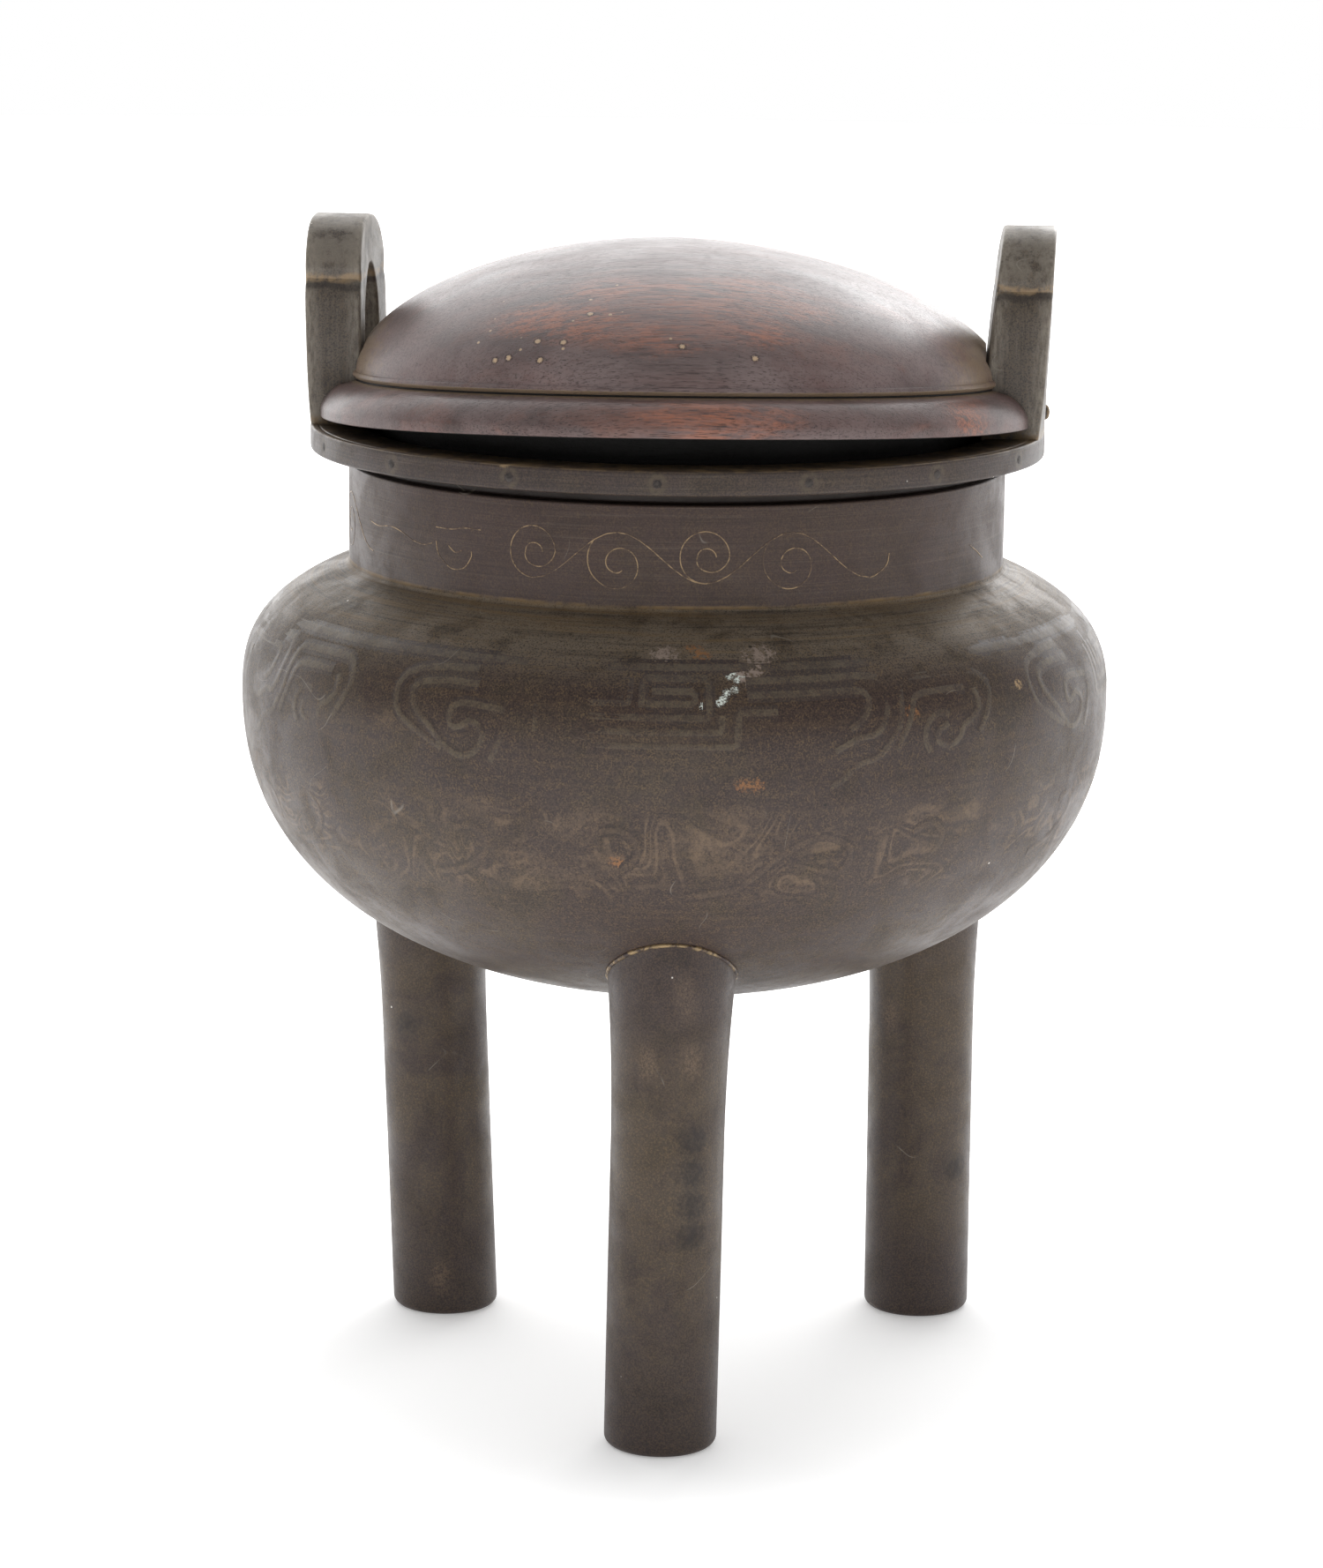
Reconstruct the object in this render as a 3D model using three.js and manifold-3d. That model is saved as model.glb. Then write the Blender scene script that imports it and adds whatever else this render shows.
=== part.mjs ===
// Tripod censer: a round bronze bowl on three round legs, with a sleeve neck, a flat rim band, two upright ears and
// a turned wooden lid that lifts off. Millimetres, +Z up, origin on the floor under the bowl's axis, front towards -Y.
import * as THREE from "three";
import { mergeVertices } from "three/addons/utils/BufferGeometryUtils.js";
import Module from "manifold-3d";

// Bowl
const bellyRadius = 80;
const bellyHeight = 128; // floor to the widest ring
const shoulderRise = 30; // widest ring to the top of the shoulder's curve
const shoulderFullness = 2.68; // 2 is an ellipse, more is squarer
const undersideDrop = 54.8; // widest ring to the lowest point of the bowl
const undersideFullness = 2.23;
const bowlWall = 3.2;
const neckRadius = 60.3;
const neckHeight = 18.5; // shoulder to the top of the sleeve
const neckWall = 4.9;
const neckFillet = 2.2;
const neckEdge = 0.5; // chamfer on the sleeve's top edge
const grooveDepth = 1.9; // how far the collar stands in from the sleeve
const grooveHeight = 2.4; // sleeve to rim band

// Rim band
const rimOverhang = 7; // past the neck
const rimThickness = 4.3;
const rimEdge = 0.5; // chamfer on the band's outer edges
const rimStep = 0.6; // how much wider the band's bore is than the mouth
const mouthBevel = 1.8;
const rimPinCount = 16;
const rimPinRadius = 0.75;
const rimPinLength = 2.2;
const rimPinTurn = -3; // degrees, first pin from the front

// Ears, which the maker set by eye, each with its own thickness and place
const earWidth = 28;
const earHeight = 37.4;
const earSillHeight = 7.5; // under the opening
const earOpeningWidth = 14;
const earOpeningTop = 28.4; // above the rim
const earEdge = 0.7; // chamfer round the loop
const earBendRadius = 200;
const rightEarTurn = -3; // degrees about the axis, from +X
const rightEarLean = 4.6; // degrees outwards
const rightEarInset = 1; // rim's edge to the ear's outer face
const rightEarThickness = 10.4;
const leftEarTurn = -6.5; // degrees about the axis, from -X
const leftEarLean = 0.5; // degrees outwards
const leftEarInset = 1.4;
const leftEarThickness = 9;
const rivetRadius = 0.95;
const rivetShank = 3.5;
const rivetHead = 1.4; // how far the head stands out
const rivetHeight = 3.4; // above the rim

// Legs
const legInset = 24.8; // widest ring to the circle of the legs' middles
const legRadius = 10.1;
const legFlare = 1.2; // extra radius where a leg meets the bowl
const legFlareHeight = 56; // where the flare starts
const legFootRound = 1.6;
const seamThickness = 0.8; // braze between a leg and the bowl
const seamProud = 0.5; // how far the braze stands out of the leg

// Each leg's angle is in degrees. StepOut moves the whole leg off the circle, and FootIn and FootAlong move only its
// foot, inwards and round the circle.
const frontAngle = -90; // degrees
const frontStepOut = 0;
const frontFootIn = 0;
const frontFootAlong = -1.1;
const rearLeftAngle = 149.2; // degrees
const rearLeftStepOut = -0.6;
const rearLeftFootIn = 3.7;
const rearLeftFootAlong = -0.6;
const rearRightAngle = 30.3; // degrees
const rearRightStepOut = 1.3;
const rearRightFootIn = -0.3;
const rearRightFootAlong = 0;

// Lid
const lidInset = 1.8; // rim's edge to the lid's edge
const lidEdgeHeight = 1.6; // upright foot of the ovolo
const ovoloHeight = 4.7;
const ovoloWidth = 4.5;
const ovoloFullness = 1.6;
const beadRadius = 0.7;
const lidGrooveDepth = 1; // behind the upper bead
const lidGrooveHeight = 0.9;
const domeInset = 6.3; // lid's edge to the dome's foot
const domeRise = 24.4;
const domeFullness = 1.8;
const domeLean = 1.5; // degrees, the dome was cut lower on its right side
const lidTilt = 2.1; // degrees, front up
const lidCupHeight = 1.8; // how far the front and back of the lid's edge have risen with age
const tenonClearance = 0.9;
const tenonDepth = 5;
const tenonWall = 5.5;
const lidCrown = 9; // wood left over the hollow
const notchClearance = 1.2; // lid to ear

const seat = 0.3; // gap between pieces that sit on each other
const overrun = 10; // how far a cutter runs past what it cuts

const ringFacets = 56;
const legFacets = 28;
const pinFacets = 8;

// Heights and radii that follow from the sizes above
const shoulderTop = bellyHeight + curveHeight(neckRadius, bellyRadius, shoulderRise, shoulderFullness);
const neckTop = shoulderTop + neckHeight;
const rimBottom = neckTop + grooveHeight;
const rimTop = rimBottom + rimThickness;
const mouthRadius = neckRadius - neckWall;
const rimRadius = neckRadius + rimOverhang;
const rimBore = mouthRadius + rimStep;
const legCircleRadius = bellyRadius - legInset;
const lidRadius = rimRadius - lidInset;

const radians = THREE.MathUtils.degToRad;

const bronze = new THREE.MeshStandardMaterial({ color: 0x4b453c, roughness: 0.5, metalness: 0.8 });
const brushedBronze = new THREE.MeshStandardMaterial({ color: 0x55493f, roughness: 0.42, metalness: 0.8 });
const braze = new THREE.MeshStandardMaterial({ color: 0xb08a4a, roughness: 0.35, metalness: 1 });
const pinMetal = new THREE.MeshStandardMaterial({ color: 0x2c2823, roughness: 0.6, metalness: 0.7 });
const hardwood = new THREE.MeshStandardMaterial({ color: 0x50302a, roughness: 0.45, metalness: 0 });

const wasm = await Module();
wasm.setup();

// A closed geometry as a solid that can be joined and cut.
function solidOf(geometry) {
  const bare = geometry.clone();
  bare.deleteAttribute("normal");
  bare.deleteAttribute("uv");
  const merged = mergeVertices(bare);
  return new wasm.Manifold(
    new wasm.Mesh({
      numProp: 3,
      vertProperties: merged.attributes.position.array,
      triVerts: new Uint32Array(merged.index.array),
    }),
  );
}

function geometryOf(solid) {
  const { vertProperties, triVerts } = solid.getMesh();
  const geometry = new THREE.BufferGeometry();
  geometry.setAttribute("position", new THREE.BufferAttribute(new Float32Array(vertProperties), 3));
  geometry.setIndex(new THREE.BufferAttribute(new Uint32Array(triVerts), 1));
  geometry.computeVertexNormals();
  return geometry;
}

function piece(name, geometry, material) {
  const mesh = new THREE.Mesh(geometry, material);
  mesh.name = name;
  return mesh;
}

// Turns an outline of [radius, height] pairs, given anticlockwise, about the Z axis.
function turned(outline, facets) {
  const points = outline.map(([radius, height]) => new THREE.Vector2(radius, height));
  return new THREE.LatheGeometry(points, facets).rotateX(Math.PI / 2);
}

// How high a superellipse stands at a distance from its pole's axis.
function curveHeight(across, radius, height, fullness) {
  return height * (1 - (across / radius) ** fullness) ** (1 / fullness);
}

// A quarter of a superellipse, from its widest point to its pole.
function quarter(radius, height, fullness, steps) {
  const points = [];
  for (let i = 0; i <= steps; i++) {
    const t = (Math.PI / 2) * (i / steps);
    const across = i === steps ? 0 : radius * Math.cos(t) ** (2 / fullness);
    points.push([across, height * Math.sin(t) ** (2 / fullness)]);
  }
  return points;
}

// Part of the same curve, from its widest point to where it has come in to the given radius.
function quarterTo(inner, radius, height, fullness, steps) {
  const points = [];
  for (let i = 0; i <= steps; i++) {
    const across = radius - (radius - inner) * Math.sin((Math.PI / 2) * (i / steps)) ** 2;
    points.push([across, curveHeight(across, radius, height, fullness)]);
  }
  return points;
}

// A cove from one point to another, drawn towards the corner between them.
function cove(from, corner, to, steps) {
  const curve = new THREE.QuadraticBezierCurve(
    new THREE.Vector2(...from),
    new THREE.Vector2(...corner),
    new THREE.Vector2(...to),
  );
  return curve.getPoints(steps).map((point) => point.toArray());
}

const raised = (points, height) => points.map(([radius, z]) => [radius, height + z]);
const lowered = (points, height) => points.map(([radius, z]) => [radius, height - z]);

// Bowl and neck

function bowlOutline() {
  const underside = quarter(bellyRadius, undersideDrop, undersideFullness, 11);
  const shoulder = quarterTo(neckRadius + neckFillet, bellyRadius, shoulderRise, shoulderFullness, 7);
  const filletFoot = raised(shoulder, bellyHeight).at(-1);
  const insideBelly = bellyRadius - bowlWall;
  const insideShoulder = quarterTo(mouthRadius, insideBelly, shoulderRise - bowlWall, shoulderFullness, 4);
  const insideUnderside = quarter(insideBelly, undersideDrop - bowlWall, undersideFullness, 8);
  const collarRadius = neckRadius - grooveDepth;
  return [
    ...lowered(underside, bellyHeight).reverse(),
    ...raised(shoulder, bellyHeight).slice(1, -1),
    ...cove(filletFoot, [neckRadius, shoulderTop], [neckRadius, shoulderTop + neckFillet], 3),
    [neckRadius, neckTop - neckEdge],
    [neckRadius - neckEdge, neckTop],
    [collarRadius, neckTop],
    [collarRadius, rimBottom - seat],
    [mouthRadius, rimBottom - seat],
    ...raised(insideShoulder, bellyHeight).reverse(),
    ...lowered(insideUnderside, bellyHeight).slice(1),
  ];
}

// The bowl's outside grown by a margin, as a solid lump to cut with.
function bowlBulk(margin) {
  const radius = bellyRadius + margin;
  const underside = quarter(radius, undersideDrop + margin, undersideFullness, 11);
  const shoulder = quarter(radius, shoulderRise + margin, shoulderFullness, 7);
  return solidOf(
    turned([...lowered(underside, bellyHeight).reverse(), ...raised(shoulder, bellyHeight).slice(1)], ringFacets),
  );
}

// Rim band

function rimPinAngles() {
  const step = 360 / rimPinCount;
  return Array.from({ length: rimPinCount }, (_, i) => radians(-90 + rimPinTurn + i * step));
}

// A short rod whose outer end stands at the given radius, lying along the direction of an angle.
function radialRod(radius, length, outerEnd, angle, height) {
  const rod = new THREE.CylinderGeometry(radius, radius, length, pinFacets);
  rod.rotateZ(-Math.PI / 2).translate(outerEnd - length / 2, 0, height);
  return rod.rotateZ(angle);
}

function rimGeometry() {
  const outline = [
    [rimBore, rimBottom],
    [rimRadius - rimEdge, rimBottom],
    [rimRadius, rimBottom + rimEdge],
    [rimRadius, rimTop - rimEdge],
    [rimRadius - rimEdge, rimTop],
    [rimBore + mouthBevel, rimTop],
    [rimBore, rimTop - mouthBevel],
    [rimBore, rimBottom],
  ];
  const holeDepth = rimPinLength + seat;
  let band = solidOf(turned(outline, ringFacets));
  for (const angle of rimPinAngles()) {
    const hole = radialRod(
      rimPinRadius + seat,
      holeDepth + overrun,
      rimRadius + overrun,
      angle,
      rimBottom + rimThickness / 2,
    );
    band = band.subtract(solidOf(hole));
  }
  return geometryOf(band);
}

// Ears

function earSpec(name, turn, lean, inset, thickness) {
  const outer = rimRadius - inset;
  return { name, turn, lean, outer, inner: outer - thickness };
}

const rightEar = earSpec("right_ear", rightEarTurn, rightEarLean, rightEarInset, rightEarThickness);
const leftEar = earSpec("left_ear", 180 + leftEarTurn, leftEarLean, leftEarInset, leftEarThickness);

// An ear is a loop between an outer and an inner outline, both given from the foot's middle to the crown's middle as
// shares of the half width and of the height.
const earOuterShares = [
  [0, 0],
  [0.55, 0],
  [1, 0],
  [1, 0.2],
  [1, 0.42],
  [0.985, 0.58],
  [0.95, 0.66],
  [0.87, 0.712],
  [0.9, 0.77],
  [0.83, 0.85],
  [0.63, 0.935],
  [0.34, 0.985],
  [0, 1],
];
const earInnerShares = [
  [0, 0],
  [0.6, 0],
  [0.96, 0.04],
  [1, 0.2],
  [1, 0.4],
  [0.98, 0.53],
  [0.92, 0.64],
  [0.82, 0.735],
  [0.68, 0.82],
  [0.53, 0.89],
  [0.37, 0.945],
  [0.19, 0.985],
  [0, 1],
];

// Both halves of an ear's outline, once round.
function earLoop(shares, halfWidth, bottom, top) {
  const half = shares.map(([across, up]) => [across * halfWidth, bottom + up * (top - bottom)]);
  const mirrored = half.slice(1, -1).map(([across, up]) => [-across, up]);
  return [...half, ...mirrored.reverse()];
}

// How far an ear's face has bent inwards at a distance from its middle.
const earSag = (across) => across ** 2 / (2 * earBendRadius);

// The ear stands on Z = 0 with its middle on the X axis, outer face towards +X.
function earGeometry({ lean, outer, inner }) {
  const outside = earLoop(earOuterShares, earWidth / 2, 0, earHeight);
  const inside = earLoop(earInnerShares, earOpeningWidth / 2, earSillHeight, earOpeningTop);
  const positions = [];
  outside.forEach(([outsideY, outsideZ], i) => {
    const [insideY, insideZ] = inside[i];
    const limb = Math.hypot(outsideY - insideY, outsideZ - insideZ);
    const edgeShare = earEdge / limb;
    // Each corner as a share of the way from the inside to the outside outline, and a place through the thickness.
    const section = [
      [edgeShare, inner],
      [0, inner + earEdge],
      [0, outer - earEdge],
      [edgeShare, outer],
      [1 - edgeShare, outer],
      [1, outer - earEdge],
      [1, inner + earEdge],
      [1 - edgeShare, inner],
    ];
    for (const [share, radius] of section) {
      const y = insideY + share * (outsideY - insideY);
      const z = insideZ + share * (outsideZ - insideZ);
      positions.push(radius - earSag(y) + z * Math.tan(radians(lean)), y, z);
    }
  });
  const stations = outside.length;
  const corners = positions.length / 3 / stations;
  const index = [];
  for (let i = 0; i < stations; i++) {
    for (let j = 0; j < corners; j++) {
      const a = i * corners + j;
      const b = i * corners + ((j + 1) % corners);
      const c = ((i + 1) % stations) * corners + ((j + 1) % corners);
      const d = ((i + 1) % stations) * corners + j;
      index.push(a, b, c, a, c, d);
    }
  }
  const loop = new THREE.BufferGeometry();
  loop.setAttribute("position", new THREE.Float32BufferAttribute(positions, 3));
  loop.setIndex(index);
  const hole = radialRod(rivetRadius + seat, rivetShank + seat + overrun, outer + overrun, 0, rivetHeight);
  return geometryOf(solidOf(loop).subtract(solidOf(hole)));
}

// A rivet with a low domed head, its shank in the ear's foot.
function rivetGeometry() {
  const headRadius = rivetRadius + 2 * seat;
  const outline = [
    [0, -rivetShank],
    [rivetRadius, -rivetShank],
    [rivetRadius, seat],
    [headRadius, seat],
    ...raised(quarter(headRadius, rivetHead - seat, 2, 3), seat).slice(1),
  ];
  return turned(outline, pinFacets).rotateY(Math.PI / 2);
}

function ear(spec) {
  const group = new THREE.Group();
  group.rotation.z = radians(spec.turn);
  group.position.z = rimTop;
  group.add(piece(spec.name, earGeometry(spec), bronze));
  const rivet = piece(spec.name + "_rivet", rivetGeometry(), pinMetal);
  rivet.position.set(spec.outer + rivetHeight * Math.tan(radians(spec.lean)), 0, rivetHeight);
  group.add(rivet);
  return group;
}

// Legs

// Where the bowl's underside stands above the middle of a leg
const legJoint = bellyHeight - curveHeight(legCircleRadius, bellyRadius, undersideDrop, undersideFullness);

function legSpec(name, angle, stepOut, footIn, footAlong) {
  return { name, angle, stepOut, footIn, footAlong };
}

const legs = [
  legSpec("front", frontAngle, frontStepOut, frontFootIn, frontFootAlong),
  legSpec("rear_left", rearLeftAngle, rearLeftStepOut, rearLeftFootIn, rearLeftFootAlong),
  legSpec("rear_right", rearRightAngle, rearRightStepOut, rearRightFootIn, rearRightFootAlong),
];

function legPlace({ angle, stepOut }) {
  const radius = legCircleRadius + stepOut;
  return [radius * Math.cos(radians(angle)), radius * Math.sin(radians(angle))];
}

function legGeometry(leg) {
  const outline = [[0, 0]];
  const footSteps = 3;
  for (let i = 0; i <= footSteps; i++) {
    const t = (Math.PI / 2) * (i / footSteps);
    outline.push([legRadius - legFootRound * (1 - Math.sin(t)), legFootRound * (1 - Math.cos(t))]);
  }
  const flareSteps = 5;
  for (let i = 0; i <= flareSteps; i++) {
    const up = i / flareSteps;
    outline.push([legRadius + legFlare * up ** 2, legFlareHeight + (legJoint - legFlareHeight) * up]);
  }
  outline.push([legRadius + legFlare, bellyHeight], [0, bellyHeight]);
  const shaft = turned(outline, legFacets);
  const [x, y] = legPlace(leg);
  const out = radians(leg.angle);
  const shiftX = -leg.footIn * Math.cos(out) - leg.footAlong * Math.sin(out);
  const shiftY = -leg.footIn * Math.sin(out) + leg.footAlong * Math.cos(out);
  const position = shaft.attributes.position;
  for (let i = 0; i < position.count; i++) {
    const share = 1 - position.getZ(i) / legJoint;
    position.setX(i, position.getX(i) + x + shiftX * share);
    position.setY(i, position.getY(i) + y + shiftY * share);
  }
  return geometryOf(solidOf(shaft).subtract(bowlBulk(seamThickness + 2 * seat)));
}

// The braze bead between a leg and the bowl, a little wider than the leg.
function seamGeometry(leg) {
  const radius = legRadius + legFlare + seamProud;
  const [x, y] = legPlace(leg);
  const plug = new THREE.CylinderGeometry(radius, radius, undersideDrop, legFacets);
  plug.rotateX(Math.PI / 2).translate(x, y, bellyHeight - undersideDrop / 2);
  return geometryOf(solidOf(plug).intersect(bowlBulk(seamThickness + seat)).subtract(bowlBulk(seat)));
}

// Lid, drawn with the foot of its edge at Z = 0

const ovoloTop = lidEdgeHeight + ovoloHeight;
const lidGrooveFloor = ovoloTop + beadRadius;
const upperBeadTop = lidGrooveFloor + lidGrooveHeight + beadRadius;
const domeRadius = lidRadius - domeInset;
const tenonRadius = mouthRadius - tenonClearance;

function lidOutline() {
  const dome = quarter(domeRadius, domeRise, domeFullness, 11).slice(1);
  const ovolo = raised(quarter(ovoloWidth, ovoloHeight, ovoloFullness, 4), lidEdgeHeight);
  const ovoloRoot = lidRadius - ovoloWidth;
  const hollowRadius = tenonRadius - tenonWall;
  const hollowRise = upperBeadTop + domeRise - lidCrown + tenonDepth;
  return [
    [hollowRadius, -tenonDepth],
    [tenonRadius, -tenonDepth],
    [tenonRadius, 0],
    [lidRadius, 0],
    ...ovolo.map(([across, z]) => [ovoloRoot + across, z]),
    [domeRadius + beadRadius - lidGrooveDepth, lidGrooveFloor],
    [domeRadius + beadRadius, lidGrooveFloor + lidGrooveHeight],
    [domeRadius + beadRadius / 2, upperBeadTop],
    ...raised(dome, upperBeadTop),
    ...raised(quarter(hollowRadius, hollowRise, 2, 6), -tenonDepth).reverse(),
  ];
}

// Age has lifted the front and back of the lid, and the dome is cut a little lower on the right.
function warpLid(geometry) {
  const position = geometry.attributes.position;
  for (let i = 0; i < position.count; i++) {
    const [x, y, z] = [position.getX(i), position.getY(i), position.getZ(i)];
    const up = Math.max(0, z - upperBeadTop) / domeRise;
    position.setZ(i, z + lidCupHeight * (y / lidRadius) ** 2 - x * Math.tan(radians(domeLean)) * up);
  }
  return geometry;
}

// How far the warped, tilted edge reaches below the lid's own level.
function lidDroop() {
  let lowest = 0;
  for (let i = 0; i < ringFacets; i++) {
    const y = lidRadius * Math.sin((2 * Math.PI * i) / ringFacets);
    const z = lidCupHeight * (y / lidRadius) ** 2;
    lowest = Math.min(lowest, z * Math.cos(radians(lidTilt)) - y * Math.sin(radians(lidTilt)));
  }
  return -lowest;
}

// Each notch follows the inner face of its own ear.
function lidGeometry() {
  let block = solidOf(warpLid(turned(lidOutline(), ringFacets)));
  const height = upperBeadTop + domeRise + tenonDepth + 2 * overrun;
  for (const { turn, inner } of [rightEar, leftEar]) {
    const floor = inner - earSag(earWidth / 2) - notchClearance;
    const depth = lidRadius + overrun - floor;
    const notch = new THREE.BoxGeometry(depth, earWidth + 2 * notchClearance, height);
    notch.translate(floor + depth / 2, 0, 0).rotateZ(radians(turn));
    block = block.subtract(solidOf(notch));
  }
  return geometryOf(block);
}

const censer = new THREE.Group();

censer.add(piece("bowl", turned(bowlOutline(), ringFacets), bronze));

censer.add(piece("rim_band", rimGeometry(), brushedBronze));

rimPinAngles().forEach((angle, i) => {
  const pin = radialRod(rimPinRadius, rimPinLength, rimRadius, angle, rimBottom + rimThickness / 2);
  censer.add(piece("rim_pin_" + String(i + 1).padStart(2, "0"), pin, pinMetal));
});

censer.add(ear(rightEar));
censer.add(ear(leftEar));

for (const leg of legs) {
  censer.add(piece(leg.name + "_leg", legGeometry(leg), bronze));
  censer.add(piece(leg.name + "_leg_seam", seamGeometry(leg), braze));
}

const lid = new THREE.Group();
lid.rotation.x = -radians(lidTilt);
lid.position.z = rimTop + seat + lidDroop();
lid.add(piece("lid", lidGeometry(), hardwood));
censer.add(lid);

export default censer;
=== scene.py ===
"""A round bronze tripod censer with a sleeve neck, a rim band, two loop ears and a turned wooden lid.

Each operator makes one piece, or one group of like pieces, over the packed frame. All lengths are in metres.
"""

import math

import bmesh
import bpy
from bpy.props import FloatProperty, FloatVectorProperty, IntProperty, PointerProperty
from mathutils import Matrix, Vector


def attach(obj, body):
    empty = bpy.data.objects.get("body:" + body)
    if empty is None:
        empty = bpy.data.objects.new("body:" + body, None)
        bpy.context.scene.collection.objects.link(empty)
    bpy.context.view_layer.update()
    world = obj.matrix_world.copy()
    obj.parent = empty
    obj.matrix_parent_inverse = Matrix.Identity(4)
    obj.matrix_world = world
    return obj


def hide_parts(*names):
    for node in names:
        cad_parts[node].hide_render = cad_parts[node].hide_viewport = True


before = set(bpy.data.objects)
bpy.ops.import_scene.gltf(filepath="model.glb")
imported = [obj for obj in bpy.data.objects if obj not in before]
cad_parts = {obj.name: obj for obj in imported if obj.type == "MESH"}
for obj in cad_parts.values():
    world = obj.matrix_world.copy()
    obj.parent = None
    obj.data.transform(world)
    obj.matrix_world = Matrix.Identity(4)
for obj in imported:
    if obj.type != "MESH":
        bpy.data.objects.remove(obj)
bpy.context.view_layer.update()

bl_info = {
    "name": "Tripod Censer",
    "version": (1, 0, 0),
    "blender": (4, 5, 0),
    "location": "3D View > Sidebar > Censer",
    "description": "Builds a bronze tripod censer with a turned wooden lid",
    "category": "Object",
}

MM = 0.001
VESSEL = "vessel"
LID = "lid"
FRONT = math.radians(-90)
WHITE = (1.0, 1.0, 1.0, 1.0)
PIT_COLOUR = (0.008, 0.007, 0.006)
WEAVE_COLOUR = (0.8, 0.8, 0.8)

RING_SEGMENTS = 256
LEG_SEGMENTS = 96
ARC_STEPS = 5
BEAD_SIDES = 10
SHARP_EDGE = math.radians(38)

ELLIPSE = 2.0  # fullness of a plain ellipse
STRAIGHT = 1000.0  # metres: an ellipse as tall as this is straight
RIDGE_SHARE = 0.7  # of a strip's half width
NOISE_MIDDLE = 0.5
TURNED_RADIUS = 65.0  # millimetres, about the middle of the turned parts


def length(name, millimetres, description):
    default = millimetres * MM
    return FloatProperty(name=name, description=description, default=default, unit="LENGTH", precision=5)


def angle(name, degrees, description):
    return FloatProperty(name=name, description=description, default=math.radians(degrees), subtype="ANGLE")


def number(name, default, description):
    return FloatProperty(name=name, description=description, default=default)


def whole(name, default, description):
    return IntProperty(name=name, description=description, default=default, min=1)


def colour(name, default, description):
    return FloatVectorProperty(
        name=name, description=description, default=default, subtype="COLOR", size=3, min=0, max=1
    )


class BowlSizes(bpy.types.PropertyGroup):
    """Sizes of the bowl and its neck"""

    belly_radius: length("Belly radius", 80, "Radius of the bowl at its widest ring")
    belly_height: length("Belly height", 128, "Floor to the widest ring")
    shoulder_rise: length("Shoulder rise", 30, "Widest ring to the top of the shoulder's curve")
    shoulder_fullness: number("Shoulder fullness", 2.68, "2 is an ellipse, more is squarer")
    underside_drop: length("Underside drop", 54.8, "Widest ring to the lowest point of the bowl")
    underside_fullness: number("Underside fullness", 2.23, "2 is an ellipse, more is squarer")
    wall: length("Wall", 3.2, "Thickness of the bowl")
    neck_radius: length("Neck radius", 60.3, "Outside radius of the sleeve neck")
    neck_height: length("Neck height", 18.5, "Shoulder to the top of the sleeve")
    neck_wall: length("Neck wall", 4.9, "Thickness of the sleeve")
    neck_fillet: length("Neck fillet", 0.8, "Cove where the neck meets the shoulder")
    neck_edge: length("Neck edge", 0.5, "Rounding of the sleeve's top edge")
    groove_depth: length("Groove depth", 1.9, "How far the collar stands in from the sleeve")
    groove_height: length("Groove height", 2.4, "Sleeve to rim band")
    seat: length("Seat", 0.3, "Solder gap between the collar and the rim band")


class RimSizes(bpy.types.PropertyGroup):
    """Sizes of the rim band and its pins"""

    overhang: length("Overhang", 7, "How far the band stands out past the neck")
    thickness: length("Thickness", 4.3, "Height of the band")
    edge: length("Edge", 0.55, "Rounding of the band's outer edges")
    step: length("Step", 0.6, "How much wider the band's bore is than the mouth")
    mouth_bevel: length("Mouth bevel", 1.8, "Bevel round the mouth")
    line_inset: length("Incised line inset", 1.5, "Band's edge to the incised line on its top")
    line_depth: length("Incised line depth", 0.22, "Depth of the incised line")
    pin_count: whole("Pins", 16, "Round plugs in the band's edge")
    pin_radius: length("Pin radius", 0.75, "Radius of a plug")
    pin_turn: angle("Pin turn", -3, "First plug from the front")


class EarSizes(bpy.types.PropertyGroup):
    """Sizes of the two ears and their rivets"""

    width: length("Width", 28, "Across an ear")
    height: length("Height", 37.4, "Rim to the ear's crown")
    sill: length("Sill", 7.5, "Rim to the opening")
    opening_width: length("Opening width", 14, "Across the opening")
    opening_top: length("Opening top", 28.4, "Rim to the top of the opening")
    edge: length("Edge", 0.75, "Rounding of the ear's edges")
    bend_radius: length("Bend radius", 200, "Radius that the ear's faces are bent to")
    right_turn: angle("Right turn", -3, "Place of the right ear about the axis, from +X")
    right_lean: angle("Right lean", 4.6, "How far the right ear leans out")
    right_outer_lean: angle("Right outer lean", 2, "How far the right ear's outer face leans out")
    right_inset: length("Right inset", 0.1, "Rim's edge to the right ear's outer face")
    right_thickness: length("Right thickness", 11.3, "Thickness of the right ear at its foot")
    left_turn: angle("Left turn", -6.5, "Place of the left ear about the axis, from -X")
    left_lean: angle("Left lean", 0.5, "How far the left ear leans out")
    left_inset: length("Left inset", 0.1, "Rim's edge to the left ear's outer face")
    left_thickness: length("Left thickness", 10.3, "Thickness of the left ear")
    sink: length("Sink", 0.8, "How far the ears' feet are let into the rim")
    rivet_radius: length("Rivet radius", 1.4, "Radius of a rivet's head")
    rivet_head: length("Rivet head", 0.8, "How far a rivet's head stands out")
    rivet_height: length("Rivet height", 3.4, "Rim to the rivet")


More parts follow.
